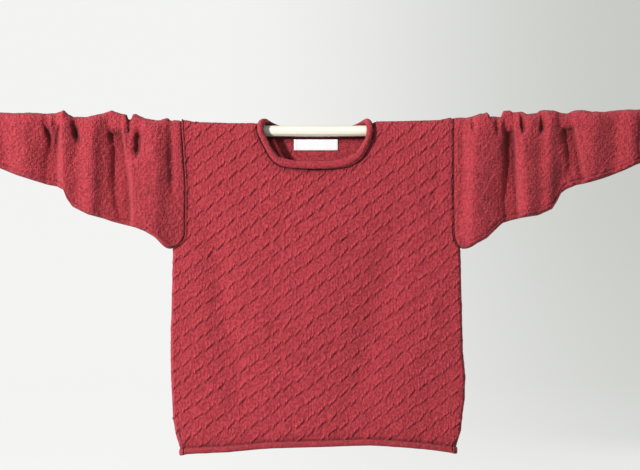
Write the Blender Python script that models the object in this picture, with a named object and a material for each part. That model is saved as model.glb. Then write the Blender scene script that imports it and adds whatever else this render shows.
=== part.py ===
"""A hand-knitted sweater with a square neck, hanging by its sleeves on a round wooden pole.

Metres, +Z up. +X runs along the pole, to the right as seen from the front, and the front faces -Y.
The origin is on the pole's axis, midway between the sweater's sides. Left and right are as seen.

Every knitted piece is a wall. A panel point is given by two lengths measured on the cloth: across,
from the middle, and drop, from the shoulder line down the front or down the back. The panels go over
the pole in a quarter turn and then hang. The sleeves are tubes of rings that start on the armholes.
"""

import math
from collections import namedtuple

import bmesh
import bpy
import numpy as np

# Driving dimensions
WALL = 0.003                # knitted cloth
SEAM_GAP = 0.0003           # between pieces at a seam
POLE_RADIUS = 0.0105
POLE_CLEARANCE = 0.0008     # between the pole and the cloth that hangs on it
POLE_RISE_AT = 0.610        # distance from the middle at which the two rises are measured
POLE_RISE_LEFT = 0.0203     # the pole bows up towards its ends
POLE_RISE_RIGHT = 0.0266
POLE_REACH_LEFT = 0.722
POLE_REACH_RIGHT = 0.728
CUFF_LEFT = 0.662           # distance of each cuff from the middle
CUFF_RIGHT = 0.668
UNDERARM = -0.224           # level of the underarm
EDGE_ROUND = 0.009          # how far in from a side the body rounds over
CHEST_HALF_WIDTH = 0.280
CHEST_DEPTH = 0.0165        # half the body's thickness in the middle, outside to middle plane
SIDE_DEPTH = 0.008          # the same beside the side seams
SHOULDER_LIFT_LEFT = 0.003  # the cloth stands this much higher off the pole beside the armholes
SHOULDER_LIFT_RIGHT = 0.007
SHOULDER_LIFT_FROM = 0.232  # where that starts, out from the middle, and how far it takes
SHOULDER_LIFT_OVER = 0.020
STRAP_LIFT_RIGHT = 0.0035   # the same along the right shoulder, from the neck on
STRAP_LIFT_FROM = 0.101
STRAP_LIFT_OVER = 0.014
SLEEVE_DEPTH = 0.0185       # half the sleeve's thickness at the pole
SLEEVE_LOW_DEPTH = 0.013    # the same near its lower edge
TROUGH_DEPTH = 0.009        # the least that folds leave of it
SLEEVE_SPARE = 0.0005       # more room round the pole than the body has
SLEEVE_SOFTNESS = 0.002     # how softly a fold meets the least thickness
POLE_SHADOW_FROM = 0.012    # below the pole's axis, where folds begin to close, and how far that takes
POLE_SHADOW_OVER = 0.030
SEAM_BLEND = 0.035          # the sleeve takes this far to leave the armhole's shape
HEM_ROLL_RADIUS = 0.006     # rolled edge of hems and cuffs
HEM_ROLL_INSET = 0.0005     # how far the roll stands inside the wall's inner face
NECK_ROLL_RADIUS = 0.0063
NECK_ROLL_CLEARANCE = 0.001
NECK_EDGE_CLEARANCE = 0.0072    # from the middle of the neck roll to the panel's edge
LABEL_THICKNESS = 0.0006
LABEL_LEFT, LABEL_RIGHT = -0.045, 0.039
LABEL_TOP, LABEL_LOW = -0.0147, -0.0356

# The cloth over the pole: outer face, and the middle of the wall, on which drops are measured
OVER_POLE = POLE_RADIUS + POLE_CLEARANCE + WALL
DROP_RADIUS = OVER_POLE - WALL / 2
QUARTER = DROP_RADIUS * math.pi / 2
ARC_ANGLES = (0, 30, 60, 90)

# The angle from straight up, about the roll's middle, at which a wall's outer face meets its roll
ROLL_LEAN = math.asin((WALL + HEM_ROLL_INSET - HEM_ROLL_RADIUS) / HEM_ROLL_RADIUS)
ROLL_HEIGHT = HEM_ROLL_RADIUS * (1 + math.cos(ROLL_LEAN))

FRONT, BACK = -1, 1         # the sign of Y
LEFT, RIGHT = -1, 1         # the sign of X

Edge = namedtuple("Edge", "level left right")
BODY_EDGES = (              # the body's half-width on each side, level by level
    Edge(0.020, 0.259, 0.258),
    Edge(-0.030, 0.255, 0.258),
    Edge(-0.105, 0.250, 0.258),
    Edge(-0.195, 0.251, 0.259),
    Edge(-0.206, 0.254, 0.261),
    Edge(-0.215, 0.262, 0.265),
    Edge(-0.224, 0.275, 0.272),
    Edge(-0.295, 0.277, 0.274),
    Edge(-0.417, 0.280, 0.277),
    Edge(-0.462, 0.279, 0.281),
    Edge(-0.508, 0.277, 0.281),
    Edge(-0.540, 0.2755, 0.276),
    Edge(-0.569, 0.2715, 0.2735),
    Edge(-0.584, 0.268, 0.269),
    Edge(-0.606, 0.262, 0.268),
)

HemPoint = namedtuple("HemPoint", "x level")
HEM = (                     # the lowest line of the rolled hem, arched up in the middle
    HemPoint(-0.270, -0.6165),
    HemPoint(-0.243, -0.6130),
    HemPoint(-0.167, -0.6090),
    HemPoint(-0.090, -0.6015),
    HemPoint(0.000, -0.5990),
    HemPoint(0.100, -0.5960),
    HemPoint(0.157, -0.5995),
    HemPoint(0.214, -0.6050),
    HemPoint(0.252, -0.6105),
    HemPoint(0.270, -0.6130),
)

NeckPoint = namedtuple("NeckPoint", "across drop")
NECK = (                    # the middle of the neck roll, round from the left shoulder; back drops are negative
    NeckPoint(-0.1010, 0.0000),
    NeckPoint(-0.1075, 0.0110),
    NeckPoint(-0.1075, 0.0220),
    NeckPoint(-0.1020, 0.0350),
    NeckPoint(-0.0950, 0.0490),
    NeckPoint(-0.0870, 0.0630),
    NeckPoint(-0.0770, 0.0760),
    NeckPoint(-0.0600, 0.0830),
    NeckPoint(-0.0350, 0.0860),
    NeckPoint(0.0000, 0.0870),
    NeckPoint(0.0300, 0.0855),
    NeckPoint(0.0540, 0.0815),
    NeckPoint(0.0755, 0.0700),
    NeckPoint(0.0880, 0.0520),
    NeckPoint(0.0960, 0.0360),
    NeckPoint(0.0990, 0.0210),
    NeckPoint(0.0980, 0.0110),
    NeckPoint(0.0940, 0.0000),
    NeckPoint(0.0870, -0.0085),
    NeckPoint(0.0710, -0.0150),
    NeckPoint(0.0400, -0.0200),
    NeckPoint(-0.0050, -0.0225),
    NeckPoint(-0.0470, -0.0200),
    NeckPoint(-0.0760, -0.0150),
    NeckPoint(-0.0930, -0.0085),
)
NECK_CORNER = {FRONT: 0.0705, BACK: 0.0134}     # drop at which the panel's neck edge turns along the neck

Ring = namedtuple("Ring", "out crest low")
SLEEVE_OUTLINES = {         # height of the top above the pole's axis, and level of the lower edge
    LEFT: (
        Ring(0.250, OVER_POLE + SHOULDER_LIFT_LEFT, UNDERARM),
        Ring(0.275, 0.0205, UNDERARM),
        Ring(0.285, 0.0215, -0.220),
        Ring(0.300, 0.0160, -0.209),
        Ring(0.315, 0.0165, -0.1985),
        Ring(0.330, 0.0195, -0.1900),
        Ring(0.345, 0.0265, -0.1840),
        Ring(0.376, 0.0265, -0.1760),
        Ring(0.392, 0.0320, -0.1690),
        Ring(0.407, 0.0255, -0.1630),
        Ring(0.437, 0.0170, -0.1555),
        Ring(0.466, 0.0155, -0.1440),
        Ring(0.475, 0.0200, -0.1310),
        Ring(0.483, 0.0280, -0.1120),
        Ring(0.497, 0.0215, -0.1050),
        Ring(0.514, 0.0200, -0.1020),
        Ring(0.544, 0.0188, -0.0928),
        Ring(0.574, 0.0170, -0.0832),
        Ring(0.605, 0.0158, -0.0705),
        Ring(0.662, 0.0158, -0.0520),
    ),
    RIGHT: (
        Ring(0.258, OVER_POLE + SHOULDER_LIFT_RIGHT, UNDERARM),
        Ring(0.273, OVER_POLE + SHOULDER_LIFT_RIGHT, UNDERARM),
        Ring(0.283, 0.0200, -0.222),
        Ring(0.294, 0.0225, -0.2180),
        Ring(0.310, 0.0275, -0.2105),
        Ring(0.325, 0.0265, -0.2020),
        Ring(0.340, 0.0190, -0.1840),
        Ring(0.355, 0.0310, -0.1730),
        Ring(0.371, 0.0250, -0.1690),
        Ring(0.386, 0.0295, -0.1640),
        Ring(0.416, 0.0225, -0.1605),
        Ring(0.432, 0.0270, -0.1550),
        Ring(0.447, 0.0260, -0.1420),
        Ring(0.462, 0.0240, -0.1130),
        Ring(0.477, 0.0190, -0.1090),
        Ring(0.493, 0.0230, -0.1025),
        Ring(0.523, 0.0205, -0.0960),
        Ring(0.553, 0.0180, -0.0830),
        Ring(0.584, 0.0215, -0.0690),
        Ring(0.607, 0.0158, -0.0605),
        Ring(0.668, 0.0158, -0.0400),
    ),
}

Fold = namedtuple("Fold", "x_top top x_low low width height")
BODY_FOLDS = {              # soft troughs, as lines from a top to a low end; a trough has a negative height
    FRONT: (
        Fold(-0.222, -0.090, -0.128, -0.620, 0.030, -0.0055),
        Fold(0.172, -0.080, 0.052, -0.620, 0.032, -0.0055),
        Fold(0.010, -0.120, 0.000, -0.420, 0.060, 0.0030),
        Fold(0.215, -0.300, 0.150, -0.640, 0.030, 0.0020),
    ),
    BACK: (
        Fold(-0.180, -0.070, -0.075, -0.620, 0.034, -0.0055),
        Fold(0.205, -0.110, 0.125, -0.620, 0.028, -0.0045),
        Fold(0.030, -0.160, 0.020, -0.560, 0.045, -0.0030),
    ),
}
SLEEVE_FOLDS = {            # ridges and troughs where the sleeves are bunched on the pole
    LEFT: (
        Fold(-0.284, 0.060, -0.283, -0.130, 0.0100, -0.0080),
        Fold(-0.320, 0.090, -0.316, -0.330, 0.0150, 0.0120),
        Fold(-0.345, 0.030, -0.343, -0.060, 0.0070, -0.0060),
        Fold(-0.362, 0.060, -0.356, -0.160, 0.0090, 0.0050),
        Fold(-0.394, 0.070, -0.386, -0.130, 0.0085, -0.0100),
        Fold(-0.392, -0.010, -0.388, -0.215, 0.0200, -0.0090),
        Fold(-0.430, 0.080, -0.428, -0.240, 0.0170, 0.0090),
        Fold(-0.462, 0.060, -0.460, -0.050, 0.0070, -0.0070),
        Fold(-0.483, 0.090, -0.474, -0.210, 0.0110, 0.0105),
        Fold(-0.526, 0.080, -0.508, -0.060, 0.0080, -0.0080),
        Fold(-0.510, 0.000, -0.512, -0.150, 0.0120, -0.0080),
        Fold(-0.508, 0.060, -0.509, 0.000, 0.0080, 0.0060),
        Fold(-0.556, 0.080, -0.556, -0.190, 0.0220, 0.0050),
        Fold(-0.600, 0.080, -0.596, -0.150, 0.0140, -0.0030),
    ),
    RIGHT: (
        Fold(0.276, 0.050, 0.275, -0.200, 0.0080, -0.0040),
        Fold(0.296, 0.060, 0.295, -0.010, 0.0070, -0.0060),
        Fold(0.320, 0.090, 0.312, -0.340, 0.0170, 0.0110),
        Fold(0.340, 0.070, 0.354, -0.010, 0.0080, -0.0060),
        Fold(0.357, 0.030, 0.355, -0.215, 0.0090, -0.0125),
        Fold(0.340, -0.080, 0.322, -0.270, 0.0200, -0.0070),
        Fold(0.372, 0.080, 0.376, -0.280, 0.0100, 0.0080),
        Fold(0.386, 0.060, 0.392, -0.040, 0.0070, -0.0060),
        Fold(0.408, 0.080, 0.404, -0.270, 0.0200, 0.0060),
        Fold(0.431, 0.060, 0.427, -0.030, 0.0060, -0.0065),
        Fold(0.448, 0.090, 0.440, -0.230, 0.0110, 0.0095),
        Fold(0.462, 0.070, 0.489, -0.150, 0.0120, -0.0120),
        Fold(0.520, 0.080, 0.520, -0.190, 0.0220, 0.0065),
        Fold(0.566, 0.080, 0.562, -0.150, 0.0130, -0.0045),
        Fold(0.596, 0.080, 0.596, -0.150, 0.0140, 0.0035),
    ),
}
BACK_FOLD_SHIFT = 0.009     # the same buckles seen from behind lie a little further out
BACK_FOLD_SHARE = 0.9
FOLD_FADE_FROM = 0.6        # share of the chest's half-width at which body folds begin to fade
FOLD_FADE_OVER = 0.4

# How finely the pieces are divided
LEVELS_BESIDE_ARMHOLE = (-0.023, -0.0504, -0.082, -0.116, -0.150, -0.184)
LEVELS_BELOW_ARMHOLE = (-0.233, -0.252, -0.290, -0.335, -0.380, -0.425, -0.470, -0.515, -0.556)
EDGE_ANGLES = (90, 60, 30, 0)
STRAP_COLUMNS = {FRONT: 6, BACK: 5}
NECK_COLUMNS = {FRONT: 13, BACK: 10}
SLEEVE_RINGS = 28
NECK_FADE = 0.130           # the neck's shape reaches this far down the panel's rows
HEM_FADE = 0.300            # the hem's arch reaches this far up
ROLL_OUTER_ANGLES = (20, 65, 110, 155, 184)
ROLL_INNER_ANGLES = (-92, -116, -138, -156, -172)
STEPS_BETWEEN_KNOTS = 24
NECK_EDGE_STEPS = 400
NECK_EDGE_SPARE = 0.004     # the parts of the neck edge are read this far past their ends
NECK_ROLL_STEPS = 66
NECK_ROLL_SIDES = 8
POLE_STEPS = 26
POLE_SIDES = 12
LABEL_COLUMNS, LABEL_ROWS = 5, 2
SHARP_ANGLE = 50            # degrees between faces from which an edge is shaded sharp
NOMINAL_HEM = -0.590        # level of the rows' end before they follow the hem's arch


def smooth(value):
    """0 below 0, 1 above 1, and an even S between."""
    share = np.clip(value, 0, 1)
    return share * share * (3 - 2 * share)


def pole_height(x):
    """Height of the pole's axis: level in the middle, and rising as the square of the distance."""
    rise = np.where(np.asarray(x) < 0, POLE_RISE_LEFT, POLE_RISE_RIGHT)
    return rise * (x / POLE_RISE_AT) ** 2


def from_table(rows, at, by, value):
    """Reads one column of a table at places given in another of its columns."""
    rows = sorted(rows, key=lambda row: getattr(row, by))
    return np.interp(at, [getattr(row, by) for row in rows], [getattr(row, value) for row in rows])


def half_width(level, side):
    """Half-width of the body at a level; side is the sign of X."""
    left = from_table(BODY_EDGES, level, "level", "left")
    right = from_table(BODY_EDGES, level, "level", "right")
    return np.where(side < 0, left, right)


def fold_height(folds, x, z):
    """Sum of folds: each is a bell across its line, and fades in and out over a third of its length."""
    total = np.zeros(np.broadcast(x, z).shape)
    for fold in folds:
        along = (fold.top - z) / (fold.top - fold.low)
        middle = fold.x_top + (fold.x_low - fold.x_top) * np.clip(along, 0, 1)
        bell = np.exp(-(((x - middle) / fold.width) ** 2))
        total += fold.height * bell * smooth(along * 3) * smooth((1 - along) * 3)
    return total


def underarm_round(level):
    """How far the armhole has rounded open: 0 at the underarm and 1 from EDGE_ROUND above it."""
    below = np.clip((UNDERARM + EDGE_ROUND - level) / EDGE_ROUND, 0, 1)
    return np.sqrt(1 - below**2)


def side_depth(level):
    """Half the body's thickness beside its edge: the pole's at the shoulder, less further down."""
    return SIDE_DEPTH + (OVER_POLE - SIDE_DEPTH) * (1 - smooth(level / UNDERARM))


def shoulder_lift(x):
    """How much higher than on the pole the cloth stands, growing towards the armholes."""
    strap = np.where(x < 0, 0, STRAP_LIFT_RIGHT)
    most = np.where(x < 0, SHOULDER_LIFT_LEFT, SHOULDER_LIFT_RIGHT)
    beside_neck = strap * smooth((np.abs(x) - STRAP_LIFT_FROM) / STRAP_LIFT_OVER)
    return beside_neck + (most - strap) * smooth((np.abs(x) - SHOULDER_LIFT_FROM) / SHOULDER_LIFT_OVER)


def body_surface(across, drop, face):
    """Outer face of the front or the back.

    Over the pole it is a quarter turn about the pole's axis. Below, it hangs as a shallow lens, with
    folds, and below the underarm its last EDGE_ROUND rounds over to the side seam.
    """
    level = np.minimum(QUARTER - drop, 0)
    side = np.sign(across)
    width = half_width(QUARTER - drop, side)
    turned = np.maximum(np.abs(across) - (width - EDGE_ROUND), 0) / EDGE_ROUND
    closing = 1 - underarm_round(level)
    inner = np.minimum(np.abs(across), width - EDGE_ROUND)
    rounding = closing * np.sin(turned) + (1 - closing) * turned * 2 / math.pi
    x = side * (inner + EDGE_ROUND * rounding)
    middle = OVER_POLE + (CHEST_DEPTH - OVER_POLE) * smooth(level / UNDERARM)
    beside = np.abs(x) / CHEST_HALF_WIDTH
    lens = middle + (side_depth(level) - middle) * beside**2
    lens = lens + fold_height(BODY_FOLDS[face], x, level) * (1 - smooth((beside - FOLD_FADE_FROM) / FOLD_FADE_OVER))
    depth = lens * (1 - closing * (1 - np.cos(turned)))
    angle = np.clip(drop, 0, QUARTER) / DROP_RADIUS
    bow = pole_height(x) * (1 - smooth(level / UNDERARM))
    y = face * (depth * np.sin(angle) + SEAM_GAP / 2)
    z = level + bow + (OVER_POLE + shoulder_lift(x)) * np.cos(angle)
    return np.stack(np.broadcast_arrays(x, y, z), axis=-1)


def unit(vectors):
    return vectors / np.linalg.norm(vectors, axis=-1, keepdims=True)


def body_normal(across, drop, face):
    """Outward direction of the panel, from small steps across and down."""
    step = 0.0004
    run = body_surface(across + step, drop, face) - body_surface(across - step, drop, face)
    fall = body_surface(across, drop + step, face) - body_surface(across, drop - step, face)
    return unit(np.cross(fall, run) * -face)


def armhole_normal(curve, face):
    """Outward direction of half an armhole's edge, square to it and to the X axis, from the underarm up."""
    along = np.gradient(curve, axis=0)
    outward = np.stack([np.zeros(len(curve)), along[:, 2] * face, -along[:, 1] * face], axis=-1)
    outward[0] = (0, 0, -1)
    outward[-1] = (0, 0, 1)
    return unit(outward)


def smooth_loop(points, count):
    """Even points on a closed curve through the given ones, by cubic pieces with shared slopes."""
    knots = np.asarray(points, float)
    before, after = np.roll(knots, 1, axis=0), np.roll(knots, -1, axis=0)
    slopes = (after - before) / 2
    share = np.linspace(0, 1, STEPS_BETWEEN_KNOTS, endpoint=False)[:, None, None]
    ends, end_slopes = after, np.roll(slopes, -1, axis=0)
    curve = (
        (2 * share**3 - 3 * share**2 + 1) * knots
        + (share**3 - 2 * share**2 + share) * slopes
        + (3 * share**2 - 2 * share**3) * ends
        + (share**3 - share**2) * end_slopes
    )
    curve = curve.transpose(1, 0, 2).reshape(-1, knots.shape[1])
    closed = np.vstack([curve, curve[:1]])
    length = np.concatenate([[0], np.cumsum(np.linalg.norm(np.diff(closed, axis=0), axis=1))])
    even = np.linspace(0, length[-1], count, endpoint=False)
    return np.stack([np.interp(even, length, closed[:, axis]) for axis in range(closed.shape[1])], axis=-1)


def neck_edge(face):
    """Panel edge round the neck, as across and drop: the roll's middle line moved out by the clearance."""
    line = smooth_loop(NECK, NECK_EDGE_STEPS)
    along = unit(np.roll(line, -1, axis=0) - np.roll(line, 1, axis=0))
    outward = np.stack([-along[:, 1], along[:, 0]], axis=-1)
    middle = line.mean(axis=0)
    if np.sum(outward * (line - middle)) < 0:
        outward = -outward
    edge = line + outward * NECK_EDGE_CLEARANCE
    edge[:, 1] *= -face
    return edge[edge[:, 1] > -NECK_EDGE_SPARE]


def neck_side(face, side, drop):
    """Where the panel's neck edge is at a drop above its corner."""
    corner = NECK_CORNER[face]
    edge = neck_edge(face)
    edge = edge[(np.sign(edge[:, 0]) == side) & (edge[:, 1] < corner + NECK_EDGE_SPARE)]
    edge = edge[np.argsort(edge[:, 1])]
    return np.interp(np.minimum(drop, corner), edge[:, 1], edge[:, 0])


def neck_low(face, across):
    """How far down the panel's neck edge is, between its two corners."""
    edge = neck_edge(face)
    edge = edge[edge[:, 1] > NECK_CORNER[face] - NECK_EDGE_SPARE]
    edge = edge[np.argsort(edge[:, 0])]
    return np.interp(across, edge[:, 0], edge[:, 1])


def hem_top(x):
    """Level at which the panel meets its rolled hem."""
    return from_table(HEM, x, "x", "level") + ROLL_HEIGHT


def armhole_levels():
    """Levels of the rows beside the armhole, up from the underarm to just below the pole's axis."""
    rounding = [UNDERARM + EDGE_ROUND * (1 - math.sin(math.radians(a))) for a in EDGE_ANGLES]
    return rounding + list(reversed(LEVELS_BESIDE_ARMHOLE))


def armhole_drops():
    """Drops of those rows and of the rows over the pole, up to the shoulder line."""
    over = [DROP_RADIUS * math.radians(a) for a in reversed(ARC_ANGLES)]
    return np.array([QUARTER - level for level in armhole_levels()] + over)


def edge_across(level, side):
    """The across of the body's edge, which lies a quarter turn past where the rounding starts."""
    return side * (half_width(level, side) - EDGE_ROUND + EDGE_ROUND * math.pi / 2)


def panel_grid(face):
    """The across and drop of every grid point of a panel, and which row its neck starts at."""
    below = [QUARTER - level for level in LEVELS_BELOW_ARMHOLE]
    drops = np.array([QUARTER - NOMINAL_HEM] + below[::-1] + list(armhole_drops()))
    neck_row = int(np.argmin(np.abs(drops - NECK_CORNER[face])))
    rows = []
    for drop in drops:
        level = QUARTER - drop
        marks = []
        for side in (LEFT, RIGHT):
            start = half_width(level, side) - EDGE_ROUND
            turned = [side * (start + EDGE_ROUND * math.radians(a)) for a in EDGE_ANGLES]
            neck = float(neck_side(face, side, drop))
            strap = np.linspace(turned[-1], neck, STRAP_COLUMNS[face] + 1)
            marks.append(np.concatenate([turned[:-1], strap]))
        middle = np.linspace(marks[0][-1], marks[1][-1], NECK_COLUMNS[face] + 1)[1:-1]
        rows.append(np.concatenate([marks[0], middle, marks[1][::-1]]))
    across = np.array(rows)
    drop = np.repeat(drops[:, None], across.shape[1], axis=1)
    corner = NECK_CORNER[face]
    first = len(EDGE_ANGLES) - 1 + STRAP_COLUMNS[face]
    last = first + NECK_COLUMNS[face]
    dip = neck_low(face, across[neck_row, first : last + 1]) - corner
    dip[[0, -1]] = 0
    down = np.maximum(drop[:, first : last + 1] - corner, 0)
    drop[:, first : last + 1] += dip * (1 - smooth(down / NECK_FADE))
    arch = hem_top(across) - NOMINAL_HEM
    drop -= arch * (1 - smooth((drops[0] - drop) / HEM_FADE))
    for column, angle in enumerate(EDGE_ANGLES):
        for side, place in ((LEFT, column), (RIGHT, -1 - column)):
            start = half_width(QUARTER - drop[:, place], side) - EDGE_ROUND
            across[:, place] = side * (start + EDGE_ROUND * math.radians(angle))
    cells = [
        (row, column)
        for row in range(len(drops) - 1)
        for column in range(across.shape[1] - 1)
        if row < neck_row or not first <= column < last
    ]
    return across, drop, cells


def add_roll(outer, inner, outward, up):
    """Grid rows that end a wall in a roll: the outer face goes round it outside, the inner one inside."""
    middle = outer[0] - HEM_ROLL_RADIUS * (outward * math.sin(ROLL_LEAN) + up * math.cos(ROLL_LEAN))

    def on_roll(angle):
        turn = math.radians(angle)
        return middle + HEM_ROLL_RADIUS * (up * math.cos(turn) + outward * math.sin(turn))

    outer_rows = [on_roll(angle) for angle in reversed(ROLL_OUTER_ANGLES)]
    inner_rows = [on_roll(angle) for angle in reversed(ROLL_INNER_ANGLES)]
    return np.concatenate([outer_rows, outer]), np.concatenate([inner_rows, inner])


def make_wall(name, outer, inner, cells, material, wraps=False):
    """A closed wall from an outer and an inner grid: both faces, and a strip along every open edge.

    The strip's quads are split on their shorter diagonal, so that two edges that meet at a seam match.
    """
    rows, columns = outer.shape[:2]
    count = rows * columns
    points = np.concatenate([outer.reshape(-1, 3), inner.reshape(-1, 3)])
    faces, edges = [], set()
    for row, column in cells:
        beside = (column + 1) % columns if wraps else column + 1
        face = (row * columns + column, row * columns + beside)
        face += ((row + 1) * columns + beside, (row + 1) * columns + column)
        faces.append(face)
        faces.append(tuple(index + count for index in reversed(face)))
        edges.update(zip(face, face[1:] + face[:1]))
    for start, end in sorted(edges):
        if (end, start) in edges:
            continue
        far_start, far_end = start + count, end + count
        one = np.linalg.norm(points[end] - points[far_start])
        other = np.linalg.norm(points[start] - points[far_end])
        if one < other:
            faces += [(end, start, far_start), (end, far_start, far_end)]
        else:
            faces += [(end, start, far_end), (start, far_start, far_end)]
    return make_object(name, points, faces, material)


def make_object(name, points, faces, material):
    """A mesh object from points and faces, with unused points dropped and faces turned outwards."""
    mesh = bpy.data.meshes.new(name)
    mesh.from_pydata(np.asarray(points).tolist(), [], faces)
    work = bmesh.new()
    work.from_mesh(mesh)
    loose = [vert for vert in work.verts if not vert.link_faces]
    bmesh.ops.delete(work, geom=loose, context="VERTS")
    bmesh.ops.recalc_face_normals(work, faces=work.faces)
    work.to_mesh(mesh)
    work.free()
    mesh.shade_smooth()
    mesh.set_sharp_from_angle(angle=math.radians(SHARP_ANGLE))
    mesh.materials.append(material)
    made = bpy.data.objects.new(name, mesh)
    bpy.context.scene.collection.objects.link(made)
    return made


def make_material(name, colour, roughness):
    material = bpy.data.materials.new(name)
    material.use_nodes = True
    shader = material.node_tree.nodes["Principled BSDF"]
    shader.inputs["Base Color"].default_value = (*colour, 1)
    shader.inputs["Roughness"].default_value = roughness
    return material


def make_panel(name, face, material):
    """The front or the back, with its rolled hem."""
    across, drop, cells = panel_grid(face)
    outer = body_surface(across, drop, face)
    normal = body_normal(across, drop, face)
    armhole = slice(len(outer) - len(armhole_drops()), len(outer))
    normal[-1, :, 1] = 0
    for column in (0, -1):
        normal[: armhole.start, column, 1] = 0
        normal[armhole, column] = armhole_normal(outer[armhole, column], face)
    normal = unit(normal)
    inner = outer - normal * WALL
    up = np.array([0.0, 0.0, 1.0])
    outward = unit(normal[0] * (1, 1, 0))
    outer, inner = add_roll(outer, inner, outward, up)
    added = len(ROLL_OUTER_ANGLES)
    roll = [(row, column) for row in range(added) for column in range(outer.shape[1] - 1)]
    cells = roll + [(row + added, column) for row, column in cells]
    return make_wall(name, outer, inner, cells, material)


def sleeve_surface(side, out, share, face):
    """Outer face of a sleeve, at a distance out from the middle.

    Share runs from 0 at the lower edge to 1 at the pole's axis, with the bottom EDGE_ROUND rounded,
    and from 1 to 2 over the pole to the crest. Its thickness is the pole's and more, plus the folds,
    and is never less than what the pole or TROUGH_DEPTH needs.
    """
    x = side * out
    axis = pole_height(x)
    rows = SLEEVE_OUTLINES[side]
    crest = from_table(rows, out, "out", "crest")
    low = from_table(rows, out, "out", "low")
    start = EDGE_ROUND / -UNDERARM
    rounding = np.clip(share / start, 0, 1)
    up = np.where(
        share < start,
        EDGE_ROUND * rounding,
        EDGE_ROUND + (axis - low - EDGE_ROUND) * (share - start) / (1 - start),
    )
    turn = np.clip(share - 1, 0, 1) * math.pi / 2
    level = np.where(share <= 1, low + up, axis)
    thick = SLEEVE_LOW_DEPTH + (SLEEVE_DEPTH - SLEEVE_LOW_DEPTH) * smooth(share)
    shift = 0 if face == FRONT else side * BACK_FOLD_SHIFT
    strength = 1 if face == FRONT else BACK_FOLD_SHARE
    thick = thick + strength * fold_height(SLEEVE_FOLDS[side], x - shift, level)
    near_pole = 1 - smooth((axis - level - POLE_SHADOW_FROM) / POLE_SHADOW_OVER)
    least = TROUGH_DEPTH + (OVER_POLE + SLEEVE_SPARE - TROUGH_DEPTH) * near_pole
    thick = (thick + least + np.sqrt((thick - least) ** 2 + SLEEVE_SOFTNESS**2)) / 2
    y = face * thick * np.sqrt(1 - (1 - rounding) ** 2) * np.cos(turn)
    z = level + crest * np.sin(turn)
    return np.stack(np.broadcast_arrays(x, y, z), axis=-1)


def sleeve_rings(side):
    """Rings of a sleeve from the armhole to the cuff, each going up the front and down the back."""
    drops = armhole_drops()
    levels = QUARTER - drops
    cuff = CUFF_LEFT if side == LEFT else CUFF_RIGHT
    cuff -= ROLL_HEIGHT
    hanging = 1 - np.minimum(levels, 0) / UNDERARM
    over = np.clip(drops / DROP_RADIUS, 0, math.pi / 2)
    share = np.where(levels > -1e-6, 2 - over / (math.pi / 2), hanging)
    halves = []
    for face in (FRONT, BACK):
        base = body_surface(edge_across(levels, side), drops, face)
        base[:, 1] -= face * SEAM_GAP / 2
        t = np.linspace(0, 1, SLEEVE_RINGS)[:, None]
        start = side * base[:, 0] + SEAM_GAP
        out = start + (cuff - start) * t
        free = sleeve_surface(side, out, share[None, :], face)
        join = smooth((out - start) / SEAM_BLEND)[..., None]
        half = base[None] * (1 - join) + free * join
        half[..., 0] = side * out
        halves.append(half)
    front, back = halves
    return np.concatenate([front, back[:, -2:0:-1]], axis=1)


def make_sleeve(name, side, material):
    """A sleeve: a tube whose first ring is the armhole seam and whose last ends in a rolled cuff."""
    outer = sleeve_rings(side)
    along = np.gradient(outer, axis=0)
    around = np.roll(outer, -1, axis=1) - np.roll(outer, 1, axis=1)
    normal = unit(np.cross(along, around))
    middle = outer.mean(axis=1, keepdims=True)
    if np.sum(normal * (outer - middle)) < 0:
        normal = -normal
    half = len(armhole_drops())
    back = np.concatenate([outer[0, :1], outer[0, :half-2:-1]])
    normal[0, :half] = armhole_normal(outer[0, :half], FRONT)
    normal[0, half:] = armhole_normal(back, BACK)[-2:0:-1]
    inner = outer - normal * WALL
    outer, inner = outer[::-1], inner[::-1]
    outward = unit(normal[-1] * (0, 1, 1))
    up = np.array([-side, 0.0, 0.0])
    outer, inner = add_roll(outer, inner, outward, up)
    cells = [(row, column) for row in range(len(outer) - 1) for column in range(outer.shape[1])]
    return make_wall(name, outer, inner, cells, material, wraps=True)


def make_neck_roll(name, material):
    """The neckband: a round roll whose middle runs along the neck, over the pole at both shoulders."""
    line = smooth_loop(NECK, NECK_ROLL_STEPS)
    lift = POLE_RADIUS + NECK_ROLL_CLEARANCE + NECK_ROLL_RADIUS - OVER_POLE
    across, drop, in_front = line[:, 0], np.abs(line[:, 1]), line[:, 1:] >= 0
    halves = []
    for face in (FRONT, BACK):
        outward = body_normal(across, drop, face)
        halves.append((body_surface(across, drop, face) + outward * lift, outward))
    path, outward = (np.where(in_front, *pair) for pair in zip(*halves))
    along = unit(np.roll(path, -1, axis=0) - np.roll(path, 1, axis=0))
    beside = unit(np.cross(along, outward))
    outward = np.cross(beside, along)
    turns = np.linspace(0, 2 * math.pi, NECK_ROLL_SIDES, endpoint=False)
    ring = np.cos(turns)[None, :, None] * outward[:, None] + np.sin(turns)[None, :, None] * beside[:, None]
    points = path[:, None] + ring * NECK_ROLL_RADIUS
    faces = []
    for step in range(NECK_ROLL_STEPS):
        after = (step + 1) % NECK_ROLL_STEPS
        for turn in range(NECK_ROLL_SIDES):
            beside_turn = (turn + 1) % NECK_ROLL_SIDES
            near = (step * NECK_ROLL_SIDES + turn, step * NECK_ROLL_SIDES + beside_turn)
            far = (after * NECK_ROLL_SIDES + beside_turn, after * NECK_ROLL_SIDES + turn)
            faces.append(near + far)
    return make_object(name, points.reshape(-1, 3), faces, material)


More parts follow.
